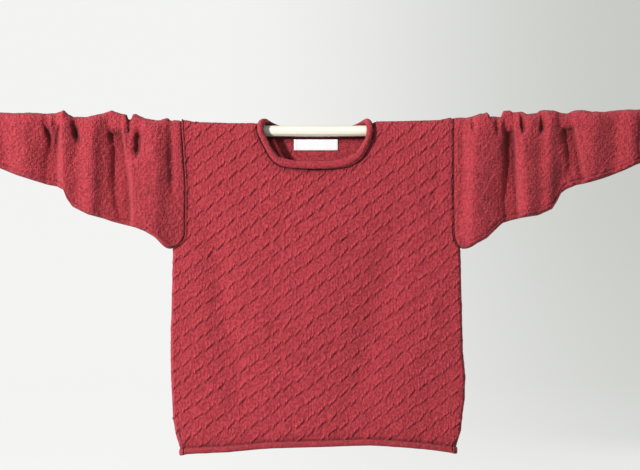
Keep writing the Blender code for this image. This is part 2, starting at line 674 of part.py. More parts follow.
def make_label(name, material):
    """The woven label: a thin plate on the inside of the back, bare."""
    across = np.linspace(LABEL_LEFT, LABEL_RIGHT, LABEL_COLUMNS + 1)[None, :]
    drop = QUARTER - np.linspace(LABEL_LOW, LABEL_TOP, LABEL_ROWS + 1)[:, None]
    across, drop = np.broadcast_arrays(across, drop)
    surface = body_surface(across, drop, BACK)
    normal = body_normal(across, drop, BACK)
    behind = surface - normal * (WALL + SEAM_GAP)
    shown = behind - normal * LABEL_THICKNESS
    cells = [(row, column) for row in range(LABEL_ROWS) for column in range(LABEL_COLUMNS)]
    return make_wall(name, behind, shown, cells, material)


def make_pole(name, material):
    """A round pole bowed up to its ends, with flat ends square to its axis."""
    x = np.linspace(-POLE_REACH_LEFT, POLE_REACH_RIGHT, POLE_STEPS + 1)
    rise = np.where(x < 0, POLE_RISE_LEFT, POLE_RISE_RIGHT)
    slope = 2 * rise * x / POLE_RISE_AT**2
    along = unit(np.stack([np.ones_like(x), np.zeros_like(x), slope], axis=-1))
    upward = np.stack([-along[:, 2], np.zeros_like(x), along[:, 0]], axis=-1)
    middle = np.stack([x, np.zeros_like(x), pole_height(x)], axis=-1)
    turns = np.linspace(0, 2 * math.pi, POLE_SIDES, endpoint=False)
    forward = np.array([0.0, -1.0, 0.0])
    ring = np.cos(turns)[None, :, None] * upward[:, None] + np.sin(turns)[None, :, None] * forward
    points = middle[:, None] + ring * POLE_RADIUS
    faces = [tuple(range(POLE_SIDES)), tuple(POLE_STEPS * POLE_SIDES + i for i in range(POLE_SIDES))]
    for step in range(POLE_STEPS):
        for turn in range(POLE_SIDES):
            beside = (turn + 1) % POLE_SIDES
            near = (step * POLE_SIDES + turn, step * POLE_SIDES + beside)
            faces.append(near + tuple(index + POLE_SIDES for index in reversed(near)))
    return make_object(name, points.reshape(-1, 3), faces, material)


def main():
    for old in list(bpy.data.objects):
        bpy.data.objects.remove(old)
    knit = make_material("red_knit", (0.47, 0.052, 0.068), 0.9)
    wood = make_material("pale_wood", (0.90, 0.80, 0.60), 0.55)
    woven = make_material("white_woven", (0.85, 0.84, 0.82), 0.8)
    make_panel("front", FRONT, knit)
    make_panel("back", BACK, knit)
    make_sleeve("sleeve_left", LEFT, knit)
    make_sleeve("sleeve_right", RIGHT, knit)
    make_neck_roll("neck_roll", knit)
    make_label("label", woven)
    make_pole("pole", wood)


main()
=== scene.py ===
# %% [markdown]
# # A hand-knitted sweater on a wooden pole
#
# The sweater is knitted in thick, matt cotton and hangs by its sleeves on a pole. The frame already
# holds its solids at their real size. This script dresses them: each knitted piece becomes a fine
# surface with its raised stitch pattern, its creases and its rolled edges, and the pole gets its wood.
#
# The same few formulas that shape the solids come back here, because the cloth has to lie where they
# are. Everything is worked out as whole numpy arrays: a surface is a function of two parameters.

# %% Frame
import math
from collections import namedtuple

import bpy
import numpy as np
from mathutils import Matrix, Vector


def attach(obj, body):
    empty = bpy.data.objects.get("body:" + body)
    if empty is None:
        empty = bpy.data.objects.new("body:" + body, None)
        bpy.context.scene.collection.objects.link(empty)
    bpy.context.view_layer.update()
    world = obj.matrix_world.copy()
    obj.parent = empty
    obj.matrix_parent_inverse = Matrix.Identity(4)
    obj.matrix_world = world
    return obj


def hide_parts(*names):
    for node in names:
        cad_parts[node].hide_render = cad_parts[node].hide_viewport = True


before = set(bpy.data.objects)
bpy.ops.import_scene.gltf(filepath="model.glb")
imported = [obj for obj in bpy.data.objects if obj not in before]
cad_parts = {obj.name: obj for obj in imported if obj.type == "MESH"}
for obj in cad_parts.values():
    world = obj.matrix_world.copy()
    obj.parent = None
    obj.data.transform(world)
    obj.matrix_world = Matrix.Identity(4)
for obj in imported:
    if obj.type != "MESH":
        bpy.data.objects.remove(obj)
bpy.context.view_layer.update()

print("solids:", sorted(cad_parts))

# %% [markdown]
# ## Sizes
#
# Lengths are in metres. X runs along the pole, the front faces -Y, and left and right are as seen from
# the front. A knitter counts in stitches and rows, so the gauge comes first: 4 stitches are 21.3 mm
# wide and 8 rows are 29.5 mm tall. The sleeves are knitted sideways and are pushed together a little.

# %% Sizes
FRONT, BACK = -1, 1
LEFT, RIGHT = -1, 1
UP = np.array([0.0, 0.0, 1.0])

WALL = 0.003                # thickness of the knitting
SEAM_GAP = 0.0003
POLE_RADIUS = 0.0105
POLE_CLEARANCE = 0.0008
POLE_RISE = {LEFT: 0.0203, RIGHT: 0.0266}
POLE_RISE_AT = 0.610        # the distance out at which the pole has risen by POLE_RISE
CUFF = {LEFT: 0.662, RIGHT: 0.668}
UNDERARM = -0.224
EDGE_ROUND = 0.009
CHEST_HALF_WIDTH = 0.280
CHEST_DEPTH = 0.0165
SIDE_DEPTH = 0.008
SHOULDER_LIFT = {LEFT: 0.003, RIGHT: 0.007}
SHOULDER_LIFT_FROM, SHOULDER_LIFT_OVER = 0.232, 0.020
STRAP_LIFT = {LEFT: 0.0, RIGHT: 0.0035}
STRAP_LIFT_FROM, STRAP_LIFT_OVER = 0.101, 0.014
SLEEVE_DEPTH, SLEEVE_LOW_DEPTH = 0.0185, 0.013
SLEEVE_SPARE = 0.0005
SEAM_BLEND = 0.035          # a sleeve turns from the armhole's shape into its own over this length
HEM_ROLL_RADIUS = 0.006
HEM_ROLL_INSET = 0.0005
NECK_ROLL_RADIUS = 0.0063
NECK_ROLL_CLEARANCE = 0.001
NECK_EDGE_CLEARANCE = 0.0072
NOMINAL_HEM = -0.590
NECK_FADE, HEM_FADE = 0.130, 0.300

OVER_POLE = POLE_RADIUS + POLE_CLEARANCE + WALL
DROP_RADIUS = OVER_POLE - WALL / 2
QUARTER = DROP_RADIUS * math.pi / 2
ROLL_LEAN = math.asin((WALL + HEM_ROLL_INSET - HEM_ROLL_RADIUS) / HEM_ROLL_RADIUS)
ROLL_HEIGHT = HEM_ROLL_RADIUS * (1 + math.cos(ROLL_LEAN))

STITCH = 0.0213 / 4
ROW = 0.0295 / 8
SLEEVE_ROW = ROW * 0.885    # pushed together
print(f"one stitch is {STITCH * 1000:.2f} mm wide and {ROW * 1000:.2f} mm tall")

# %% [markdown]
# ## Outlines
#
# The outlines are short tables: half-widths of the body at a level, the arched hem, the neck, and
# each sleeve's top and lower edge at distances out along the pole.

# %% Outlines
def table(columns, *rows):
    """Rows of numbers with named columns."""
    named = namedtuple("Row", columns)
    return tuple(named(*row) for row in rows)


BODY_EDGES = table(
    "level left right",
    (0.020, 0.259, 0.258), (-0.030, 0.255, 0.258), (-0.105, 0.250, 0.258),
    (-0.195, 0.251, 0.259), (-0.206, 0.254, 0.261), (-0.215, 0.262, 0.265),
    (-0.224, 0.275, 0.272), (-0.295, 0.277, 0.274), (-0.417, 0.280, 0.277),
    (-0.462, 0.279, 0.281), (-0.508, 0.277, 0.281), (-0.540, 0.2755, 0.276),
    (-0.569, 0.2715, 0.2735), (-0.584, 0.268, 0.269), (-0.606, 0.260, 0.262),
)

HEM = table(
    "x level",
    (-0.270, -0.6165), (-0.243, -0.6130), (-0.167, -0.6090), (-0.090, -0.6015),
    (0.000, -0.5990), (0.100, -0.5960), (0.157, -0.5995), (0.214, -0.6050),
    (0.252, -0.6105), (0.270, -0.6130),
)

NECK = table(
    "across drop",
    (-0.1010, 0.0000), (-0.1075, 0.0110), (-0.1075, 0.0220), (-0.1020, 0.0350),
    (-0.0950, 0.0490), (-0.0870, 0.0630), (-0.0770, 0.0760), (-0.0600, 0.0830),
    (-0.0350, 0.0860), (0.0000, 0.0870), (0.0300, 0.0855), (0.0540, 0.0815),
    (0.0755, 0.0700), (0.0880, 0.0520), (0.0960, 0.0360), (0.0990, 0.0210),
    (0.0980, 0.0110), (0.0940, 0.0000), (0.0870, -0.0085), (0.0710, -0.0150),
    (0.0400, -0.0200), (-0.0050, -0.0225), (-0.0470, -0.0200), (-0.0760, -0.0150),
    (-0.0930, -0.0085),
)
NECK_CORNER = {FRONT: 0.0705, BACK: 0.0134}

SLEEVE_OUTLINES = {
    LEFT: table(
        "out crest low",
        (0.250, OVER_POLE + SHOULDER_LIFT[LEFT], UNDERARM),
        (0.2735, 0.0190, UNDERARM), (0.2755, 0.0152, UNDERARM),
        (0.2795, 0.0152, -0.2225), (0.285, 0.0215, -0.220), (0.300, 0.0160, -0.209),
        (0.315, 0.0165, -0.1985), (0.330, 0.0195, -0.1900), (0.345, 0.0265, -0.1840),
        (0.351, 0.0262, -0.1822), (0.354, 0.0158, -0.1815), (0.360, 0.0158, -0.1800),
        (0.363, 0.0245, -0.1793), (0.376, 0.0265, -0.1760), (0.392, 0.0320, -0.1718),
        (0.407, 0.0255, -0.1665), (0.437, 0.0170, -0.1585), (0.466, 0.0155, -0.1440),
        (0.475, 0.0200, -0.1310), (0.483, 0.0280, -0.1120), (0.497, 0.0215, -0.1050),
        (0.514, 0.0200, -0.1020), (0.544, 0.0188, -0.0928), (0.574, 0.0170, -0.0832),
        (0.605, 0.0158, -0.0705), (0.662, 0.0158, -0.0520),
    ),
    RIGHT: table(
        "out crest low",
        (0.258, OVER_POLE + SHOULDER_LIFT[RIGHT], UNDERARM),
        (0.273, OVER_POLE + SHOULDER_LIFT[RIGHT], UNDERARM),
        (0.283, 0.0200, -0.2220),
        (0.294, 0.0225, -0.2180), (0.310, 0.0275, -0.2105), (0.3235, 0.0285, -0.2030),
        (0.3285, 0.0195, -0.1978), (0.3490, 0.0188, -0.1780), (0.3535, 0.0305, -0.1745),
        (0.367, 0.0305, -0.1702), (0.371, 0.0260, -0.1690), (0.389, 0.0268, -0.1650),
        (0.397, 0.0220, -0.1635), (0.418, 0.0218, -0.1605), (0.423, 0.0262, -0.1590),
        (0.447, 0.0260, -0.1480), (0.456, 0.0235, -0.1340), (0.464, 0.0205, -0.1180),
        (0.474, 0.0180, -0.1105), (0.493, 0.0223, -0.1025), (0.507, 0.0222, -0.1000),
        (0.523, 0.0175, -0.0960), (0.545, 0.0157, -0.0895), (0.553, 0.0160, -0.0866),
        (0.584, 0.0165, -0.0745), (0.607, 0.0158, -0.0640), (0.668, 0.0158, -0.0400),
    ),
}
print("outline points:", sum(map(len, (BODY_EDGES, HEM, NECK, *SLEEVE_OUTLINES.values()))))

# %% [markdown]
# ## Creases
#
# Creases are what makes cloth look like cloth. They could come from a simulation, but these are seen
# very clearly, so they are listed one by one. A crease is a line from a top to a low end. Seen across,
# it is a bell whose two flanks may have different widths: a soft one and a steep one. A positive height
# is a ridge towards the viewer and a negative one is a trough.

# %% Creases
CREASE = "x_top top x_low low left right height"
BODY_CREASES = {
    FRONT: table(
        CREASE,
        (-0.222, -0.090, -0.128, -0.620, 0.030, 0.030, -0.0055),
        (0.172, -0.080, 0.052, -0.620, 0.032, 0.032, -0.0055),
        (0.010, -0.120, 0.000, -0.420, 0.060, 0.060, 0.0030),
        (0.215, -0.300, 0.150, -0.640, 0.030, 0.030, 0.0020),
        (-0.238, 0.020, -0.225, -0.200, 0.009, 0.012, -0.0016),
        (0.232, 0.000, 0.222, -0.230, 0.014, 0.010, -0.0018),
        (-0.150, 0.010, -0.160, -0.120, 0.012, 0.016, -0.0010),
        (0.140, 0.010, 0.152, -0.140, 0.016, 0.012, -0.0010),
        (-0.240, -0.230, -0.262, -0.420, 0.012, 0.010, -0.0014),
        (0.246, -0.240, 0.262, -0.430, 0.010, 0.012, -0.0014),
    ),
    BACK: table(
        CREASE,
        (-0.180, -0.070, -0.075, -0.620, 0.034, 0.034, -0.0055),
        (0.205, -0.110, 0.125, -0.620, 0.028, 0.028, -0.0045),
        (0.030, -0.160, 0.020, -0.560, 0.045, 0.045, -0.0030),
        (-0.236, 0.010, -0.222, -0.210, 0.012, 0.010, -0.0018),
        (0.236, 0.020, 0.224, -0.190, 0.010, 0.014, -0.0018),
        (-0.130, -0.020, -0.150, -0.180, 0.016, 0.012, -0.0010),
        (0.120, -0.020, 0.140, -0.170, 0.012, 0.016, -0.0010),
    ),
}
SLEEVE_CREASES = {
    LEFT: table(
        CREASE,
        (-0.276, 0.060, -0.274, -0.150, 0.0075, 0.0060, -0.0080),
        (-0.308, 0.090, -0.302, -0.330, 0.0300, 0.0160, 0.0080),
        (-0.338, 0.010, -0.341, -0.060, 0.0065, 0.0050, -0.0100),
        (-0.357, 0.060, -0.357, -0.012, 0.0022, 0.0030, -0.0100),
        (-0.376, 0.070, -0.369, -0.060, 0.0070, 0.0060, 0.0080),
        (-0.394, 0.070, -0.391, -0.030, 0.0035, 0.0030, -0.0120),
        (-0.380, 0.080, -0.359, -0.190, 0.0170, 0.0042, -0.0300),
        (-0.364, -0.020, -0.356, -0.260, 0.0200, 0.0050, -0.0120),
        (-0.352, -0.030, -0.344, -0.270, 0.0050, 0.0380, 0.0085),
        (-0.424, 0.080, -0.430, -0.240, 0.0220, 0.0150, 0.0115),
        (-0.467, 0.050, -0.450, -0.034, 0.0060, 0.0040, -0.0110),
        (-0.484, 0.090, -0.476, -0.210, 0.0080, 0.0200, 0.0100),
        (-0.526, 0.080, -0.501, -0.045, 0.0060, 0.0040, -0.0110),
        (-0.486, 0.020, -0.497, -0.040, 0.0030, 0.0030, -0.0060),
        (-0.496, 0.010, -0.501, -0.170, 0.0190, 0.0045, -0.0190),
        (-0.506, 0.060, -0.506, -0.010, 0.0070, 0.0070, 0.0060),
        (-0.556, 0.080, -0.556, -0.190, 0.0220, 0.0200, 0.0055),
        (-0.600, 0.080, -0.590, -0.150, 0.0120, 0.0140, -0.0035),
        (-0.632, 0.080, -0.636, -0.150, 0.0080, 0.0090, 0.0030),
    ),
    RIGHT: table(
        CREASE,
        (0.276, 0.050, 0.270, -0.200, 0.0060, 0.0080, -0.0040),
        (0.296, 0.060, 0.295, -0.006, 0.0040, 0.0045, -0.0090),
        (0.308, 0.090, 0.288, -0.340, 0.0170, 0.0420, 0.0110),
        (0.333, 0.070, 0.344, -0.020, 0.0050, 0.0040, -0.0070),
        (0.346, 0.030, 0.346, -0.006, 0.0050, 0.0060, 0.0035),
        (0.364, 0.090, 0.390, -0.400, 0.0150, 0.0034, -0.0300),
        (0.362, -0.050, 0.362, -0.290, 0.0300, 0.0100, -0.0050),
        (0.386, 0.080, 0.397, -0.280, 0.0080, 0.0200, 0.0080),
        (0.381, 0.060, 0.391, -0.016, 0.0035, 0.0045, -0.0100),
        (0.408, 0.070, 0.408, -0.070, 0.0130, 0.0130, 0.0030),
        (0.410, -0.020, 0.404, -0.270, 0.0200, 0.0200, 0.0065),
        (0.431, 0.060, 0.424, -0.014, 0.0040, 0.0030, -0.0095),
        (0.442, 0.090, 0.436, -0.230, 0.0120, 0.0140, 0.0070),
        (0.467, 0.080, 0.511, -0.140, 0.0160, 0.0038, -0.0290),
        (0.474, -0.040, 0.468, -0.200, 0.0220, 0.0100, -0.0050),
        (0.520, 0.080, 0.520, -0.190, 0.0200, 0.0220, 0.0065),
        (0.566, 0.080, 0.562, -0.150, 0.0130, 0.0120, -0.0045),
        (0.596, 0.080, 0.596, -0.150, 0.0120, 0.0120, 0.0040),
        (0.612, 0.080, 0.611, -0.150, 0.0040, 0.0050, -0.0030),
        (0.640, 0.080, 0.636, -0.150, 0.0090, 0.0080, 0.0030),
    ),
}
SLIT_DEPTH = 0.0048         # half the sleeve's thickness where a crease is deepest
SLEEVE_SOFTNESS = 0.0012
BACK_FOLD_SHIFT, BACK_FOLD_SHARE = 0.009, 0.9


def smooth(value):
    """0 below 0, 1 above 1, and an even S between."""
    share = np.clip(value, 0, 1)
    return share * share * (3 - 2 * share)


def bell(distance, half_width):
    """1 at distance 0, and fading to both sides as exp of minus the square of distance over half-width."""
    return np.exp(-((distance / half_width) ** 2))


def crease_height(creases, x, z):
    """Sum of creases: each is a bell across its line, and fades in and out over a third of its length."""
    total = np.zeros(np.broadcast(x, z).shape)
    for crease in creases:
        along = (crease.top - z) / (crease.top - crease.low)
        beside = x - crease.x_top - (crease.x_low - crease.x_top) * np.clip(along, 0, 1)
        across = bell(beside, np.where(beside < 0, crease.left, crease.right))
        total += crease.height * across * smooth(along * 3) * smooth((1 - along) * 3)
    return total


print("creases:", sum(map(len, (*BODY_CREASES.values(), *SLEEVE_CREASES.values()))))

# %% [markdown]
# ## The body's surface
#
# A point on a panel has two cloth measures: across, from the middle, and drop, from the shoulder line.
# The panel makes a quarter turn over the pole and then hangs as a shallow lens. The neck's outline is
# a closed smooth curve, moved out by a clearance so that the rolled band fits inside.

# %% The body's surface
BODY_CREASES_TO = 0.6       # share of the half-width past which the body's creases fade out
NECK_EDGE_STEPS = 400
NECK_LAP = 0.004            # the stretches of the neck's edge run this far past their corners


def by_side(x, values):
    """The left or the right one of two values, by the sign of X."""
    return np.where(np.asarray(x) < 0, values[LEFT], values[RIGHT])


def pole_height(x):
    """Height of the pole's axis: level in the middle, and rising as the square of the distance."""
    return by_side(x, POLE_RISE) * (x / POLE_RISE_AT) ** 2


def from_table(rows, at, by, value):
    """Reads one column of a table at places given in another of its columns."""
    rows = sorted(rows, key=lambda row: getattr(row, by))
    return np.interp(at, [getattr(row, by) for row in rows], [getattr(row, value) for row in rows])


def half_width(level, side):
    """Half-width of the body at a level; side is the sign of X."""
    left, right = (from_table(BODY_EDGES, level, "level", name) for name in ("left", "right"))
    return np.where(side < 0, left, right)


def underarm_round(level):
    """How far the armhole has rounded open: 0 at the underarm and 1 from EDGE_ROUND above it."""
    below = np.clip((UNDERARM + EDGE_ROUND - level) / EDGE_ROUND, 0, 1)
    return np.sqrt(1 - below**2)


def side_depth(level):
    """Half the body's thickness beside its edge: the pole's at the shoulder, less further down."""
    return SIDE_DEPTH + (OVER_POLE - SIDE_DEPTH) * (1 - smooth(level / UNDERARM))


def shoulder_lift(x):
    """How much higher than on the pole the cloth stands, growing towards the armholes."""
    strap, most = by_side(x, STRAP_LIFT), by_side(x, SHOULDER_LIFT)
    beside_neck = strap * smooth((np.abs(x) - STRAP_LIFT_FROM) / STRAP_LIFT_OVER)
    return beside_neck + (most - strap) * smooth((np.abs(x) - SHOULDER_LIFT_FROM) / SHOULDER_LIFT_OVER)


def body_surface(across, drop, face):
    """Outer face of the front or the back.

    A quarter turn about the pole, then a shallow lens with creases. Below the underarm its last
    EDGE_ROUND rounds over to the side seam.
    """
    level = np.minimum(QUARTER - drop, 0)
    side = np.sign(across)
    width = half_width(QUARTER - drop, side)
    turned = np.maximum(np.abs(across) - (width - EDGE_ROUND), 0) / EDGE_ROUND
    closing = 1 - underarm_round(level)
    inner = np.minimum(np.abs(across), width - EDGE_ROUND)
    rounding = closing * np.sin(turned) + (1 - closing) * turned * 2 / math.pi
    x = side * (inner + EDGE_ROUND * rounding)
    middle = OVER_POLE + (CHEST_DEPTH - OVER_POLE) * smooth(level / UNDERARM)
    beside = np.abs(x) / CHEST_HALF_WIDTH
    lens = middle + (side_depth(level) - middle) * beside**2
    creased = 1 - smooth((beside - BODY_CREASES_TO) / (1 - BODY_CREASES_TO))
    lens = lens + crease_height(BODY_CREASES[face], x, level) * creased
    depth = lens * (1 - closing * (1 - np.cos(turned)))
    angle = np.clip(drop, 0, QUARTER) / DROP_RADIUS
    bow = pole_height(x) * (1 - smooth(level / UNDERARM))
    y = face * (depth * np.sin(angle) + SEAM_GAP / 2)
    z = level + bow + (OVER_POLE + shoulder_lift(x)) * np.cos(angle)
    return np.stack(np.broadcast_arrays(x, y, z), axis=-1)


def unit(vectors):
    """The same directions with length 1."""
    return vectors / np.linalg.norm(vectors, axis=-1, keepdims=True)


def smooth_loop(points, count, steps=24):
    """Even points on a closed curve through the given ones, by cubic pieces with shared slopes."""
    knots = np.asarray(points, float)
    before, after = np.roll(knots, 1, axis=0), np.roll(knots, -1, axis=0)
    slopes = (after - before) / 2
    share = np.linspace(0, 1, steps, endpoint=False)[:, None, None]
    curve = (
        (2 * share**3 - 3 * share**2 + 1) * knots
        + (share**3 - 2 * share**2 + share) * slopes
        + (3 * share**2 - 2 * share**3) * after
        + (share**3 - share**2) * np.roll(slopes, -1, axis=0)
    )
    curve = curve.transpose(1, 0, 2).reshape(-1, knots.shape[1])
    closed = np.vstack([curve, curve[:1]])
    length = np.concatenate([[0], np.cumsum(np.linalg.norm(np.diff(closed, axis=0), axis=1))])
    even = np.linspace(0, length[-1], count, endpoint=False)
    return np.stack([np.interp(even, length, closed[:, axis]) for axis in range(closed.shape[1])], axis=-1)


def neck_edge(face):
    """Panel edge round the neck, as across and drop: the band's middle line moved out by the clearance."""
    line = smooth_loop(NECK, NECK_EDGE_STEPS)
    along = unit(np.roll(line, -1, axis=0) - np.roll(line, 1, axis=0))
    outward = np.stack([-along[:, 1], along[:, 0]], axis=-1)
    if np.sum(outward * (line - line.mean(axis=0))) < 0:
        outward = -outward
    edge = line + outward * NECK_EDGE_CLEARANCE
    edge[:, 1] *= -face
    return edge[edge[:, 1] > -NECK_LAP]


def neck_side(face, side, drop):
    """Where the panel's neck edge is at a drop above its corner."""
    corner = NECK_CORNER[face]
    edge = neck_edge(face)
    edge = edge[(np.sign(edge[:, 0]) == side) & (edge[:, 1] < corner + NECK_LAP)]
    edge = edge[np.argsort(edge[:, 1])]
    return np.interp(np.minimum(drop, corner), edge[:, 1], edge[:, 0])


def neck_low(face, across):
    """How far down the panel's neck edge is, between its two corners."""
    edge = neck_edge(face)
    edge = edge[edge[:, 1] > NECK_CORNER[face] - NECK_LAP]
    edge = edge[np.argsort(edge[:, 0])]
    return np.interp(across, edge[:, 0], edge[:, 1])


chest = body_surface(np.array(0.0), np.array(0.3), FRONT)
print(f"the front stands {-chest[1] * 1000:.1f} mm off the middle plane at the chest")

# %% [markdown]
# ## The stitch chart
#
# The sweater is plain knit with short raised dashes of purl stitches. A dash is three purl stitches
# that step up to the right by one stitch and one row each; then one stitch is left plain. Dashes follow
# each other in slanting lines that repeat every 8 rows. As a rule: purl where row minus column is a
# multiple of 8 and column is not 3, 7, 11 and so on.
#
# Single stitches are too many to model, so the dashes are raised in the mesh and the stitches are
# bump. Both read the same two numbers, kept on every piece as its UV map "knit": columns and rows.

# %% The stitch chart
DASH_COLUMNS, DASH_PLAIN, DASH_ROWS = 3, 1, 8
DASH_HEIGHT = 0.0016
DASH_HALF_ROWS = 0.90       # how thick a dash is across its length
DASH_SLANT = 1.45           # rows that a dash climbs for each stitch; its neighbours keep to the chart
DASH_TAPER = 0.5            # stitches over which it begins and ends
BEAD_MEAN, BEAD_SWING = 0.58, 0.42
HOLLOW_DEPTH = 0.0009       # plain knit sinks beside a dash
HOLLOW_BELOW, HOLLOW_HALF_ROWS = 1.5, 0.8
HOLLOW_LEAST, HOLLOW_BEADED = 0.3, 0.9
SLEEVE_DASHES = 0.45        # pushed together on the pole, the sleeves show theirs less
TENSION, TENSION_SCALE = 0.75, 1.7      # some dashes stand out more than others
UNEVEN_HEIGHT = 0.0009      # hand knit is never quite flat
LUMP_HEIGHT, LUMP_SCALE = 0.00048, 3    # nor is one stitch like the next
LUMP_FADE = 4               # the lumps reach this many times nearer to a seam than the dashes
WANDER = 0.50               # stitches and rows that the chart strays
NOISE_COLUMNS, NOISE_ROWS, NOISE_SIZE = 5, 6, 256
TENSION_SEED, LUMP_SEED, COLUMN_SEED, ROW_SEED = 7, 3, 13, 17   # added to a piece's own seed


def dash_shape(column, row):
    """Height of the dashes, from 0 to 1, and the hollow under them, at a place in the chart.

    Across a dash it is a bell of the distance in rows, and along it three beads, one for each stitch.
    """
    along = np.mod(column, DASH_COLUMNS + DASH_PLAIN)
    line = column + (DASH_SLANT - 1) * (along - DASH_COLUMNS / 2)
    beside = np.mod(row - line + DASH_ROWS / 2, DASH_ROWS) - DASH_ROWS / 2
    ends = smooth(along / DASH_TAPER) * smooth((DASH_COLUMNS - along) / DASH_TAPER)
    beads = BEAD_MEAN - BEAD_SWING * np.cos(2 * math.pi * along)
    dash = bell(beside, DASH_HALF_ROWS) * ends * beads
    hollow = bell(beside + HOLLOW_BELOW, HOLLOW_HALF_ROWS) * ends * (HOLLOW_LEAST + HOLLOW_BEADED * beads)
    return dash, hollow


def unevenness(column, row, seed):
    """Smooth seeded noise from -1 to 1: random heights a few stitches apart, eased from one to the next."""
    heights = np.random.default_rng(seed).uniform(-1, 1, (NOISE_SIZE, NOISE_SIZE))
    x, y = column / NOISE_COLUMNS + NOISE_SIZE / 2, row / NOISE_ROWS + NOISE_SIZE / 2
    left, low = np.floor(x).astype(int), np.floor(y).astype(int)
    right_share, up_share = smooth(x - left), smooth(y - low)
    left, low = left % (NOISE_SIZE - 1), low % (NOISE_SIZE - 1)
    bottom, top = (
        heights[at, left] * (1 - right_share) + heights[at, left + 1] * right_share for at in (low, low + 1)
    )
    return bottom * (1 - up_share) + top * up_share


def knit_relief(column, row, charted, seed):
    """Height in metres of the knitting above its mean surface; charted is 0 where the chart fades out."""
    dash, hollow = dash_shape(column, row)
    tension = 1 + TENSION * unevenness(column * TENSION_SCALE, row * TENSION_SCALE, seed + TENSION_SEED)
    raised = tension * (DASH_HEIGHT * dash - HOLLOW_DEPTH * hollow)
    broad = UNEVEN_HEIGHT * unevenness(column, row, seed)
    fine = LUMP_HEIGHT * unevenness(column * LUMP_SCALE, row * LUMP_SCALE, seed + LUMP_SEED)
    return charted * raised + np.minimum(charted * LUMP_FADE, 1) * (broad + fine)


def wander(column, row, seed):
    """The same chart place as a hand would knit it, a little off."""
    return (
        column + WANDER * unevenness(column, row, seed + COLUMN_SEED),
        row + WANDER * unevenness(column, row, seed + ROW_SEED),
    )


purl_share = np.mean(dash_shape(*np.meshgrid(np.arange(0, 8, 0.1), np.arange(0, 8, 0.1)))[0])
print(f"mean height of the dashes: {purl_share * DASH_HEIGHT * 1000:.2f} mm")

# %% [markdown]
# ## Putting a shell into a mesh
#
# Cloth is a shell with an outside, an inside and rims. The outside needs small cells for the stitches
# and the inside doesn't, so the inside keeps only every few points. A fan of triangles at the rims
# joins the small edges to a large one, which keeps the shell closed. Each point also carries the
# direction that faces outwards, its place in the chart, how much the dashes show there, and whether it
# is the reverse side. These grids together are called a layer.

# %% Layers
Layer = namedtuple("Layer", "points outward knit dashes reverse")
LAYER_SIZES = (3, 3, 2, 1, 1)           # how many numbers a point has in each of them


def layer(points, outward, knit, dashes=0.0, reverse=0.0):
    """A layer of a grid of points; dashes and reverse go from 0 to 1, and a single value fills the grid."""
    shape = points.shape[:-1]
    return Layer(points, outward, knit, np.broadcast_to(dashes, shape), np.broadcast_to(reverse, shape))


def joined(first, second):
    """Two layers as one, with the rows of the second after those of the first."""
    return Layer(*(np.concatenate(pair) for pair in zip(first, second)))


def thinned(whole, step):
    """A layer that keeps only every so many rows and columns."""
    return Layer(*(grid[::step, ::step] for grid in whole))


def listed(layers):
    """All points of some layers in one list, and so for what they carry."""
    return Layer(*(
        np.concatenate([np.reshape(grid, (-1, size)) for grid in grids])
        for size, grids in zip(LAYER_SIZES, zip(*layers))
    ))


def numbers(points, start=0):
    """Vertex numbers of a grid of points that come after so many others."""
    return start + np.arange(points[..., 0].size).reshape(points.shape[:-1])


print("a layer holds:", ", ".join(Layer._fields))

# %% Faces
WRAP_JUMP, WRAP_STEP = 8, 0.3           # in columns or rows of the chart
TURN_SAMPLE = 500                       # about so many faces say which way a piece is turned


def grid_quads(rows, columns, keep=None, wraps=False, start=0):
    """Vertex numbers of a grid's quads. Rows and columns count points; keep masks the cells."""
    row = np.arange(rows - 1)[:, None]
    column = np.arange(columns if wraps else columns - 1)[None, :]
    after = (column + 1) % columns
    this_row, next_row = row * columns, (row + 1) * columns
    corners = (this_row + column, this_row + after, next_row + after, next_row + column)
    quads = np.stack(np.broadcast_arrays(*corners), axis=-1)
    quads = quads[keep] if keep is not None else quads.reshape(-1, 4)
    return quads + start


def rim_fan(outer_path, inner_path):
    """Triangles between an outer path and an inner one that has an even fraction of its steps."""
    step = (len(outer_path) - 1) // (len(inner_path) - 1)
    fine = np.stack([outer_path[k : len(outer_path) - step + k : step] for k in range(step + 1)])
    start, end = inner_path[:-1], inner_path[1:]
    half = step // 2
    fans = [np.stack([fine[k + 1], fine[k], start], axis=-1) for k in range(half)]
    fans.append(np.stack([fine[half], start, end], axis=-1))
    fans += [np.stack([fine[k + 1], fine[k], end], axis=-1) for k in range(half, step)]
    return np.concatenate(fans)


def end_fan(path, middle):
    """Triangles from each step of a path to one point."""
    return np.stack([path[1:], path[:-1], np.full(len(path) - 1, middle)], axis=-1)


def close_chart(corners):
    """Chart places of quads' corners; where a quad joins a tube's ends, the low ones go past the high."""
    least, most = corners.min(axis=1, keepdims=True), corners.max(axis=1, keepdims=True)
    joins = (most - least > WRAP_JUMP) & (corners < (most + least) / 2)
    return np.where(joins, most + WRAP_STEP, corners)


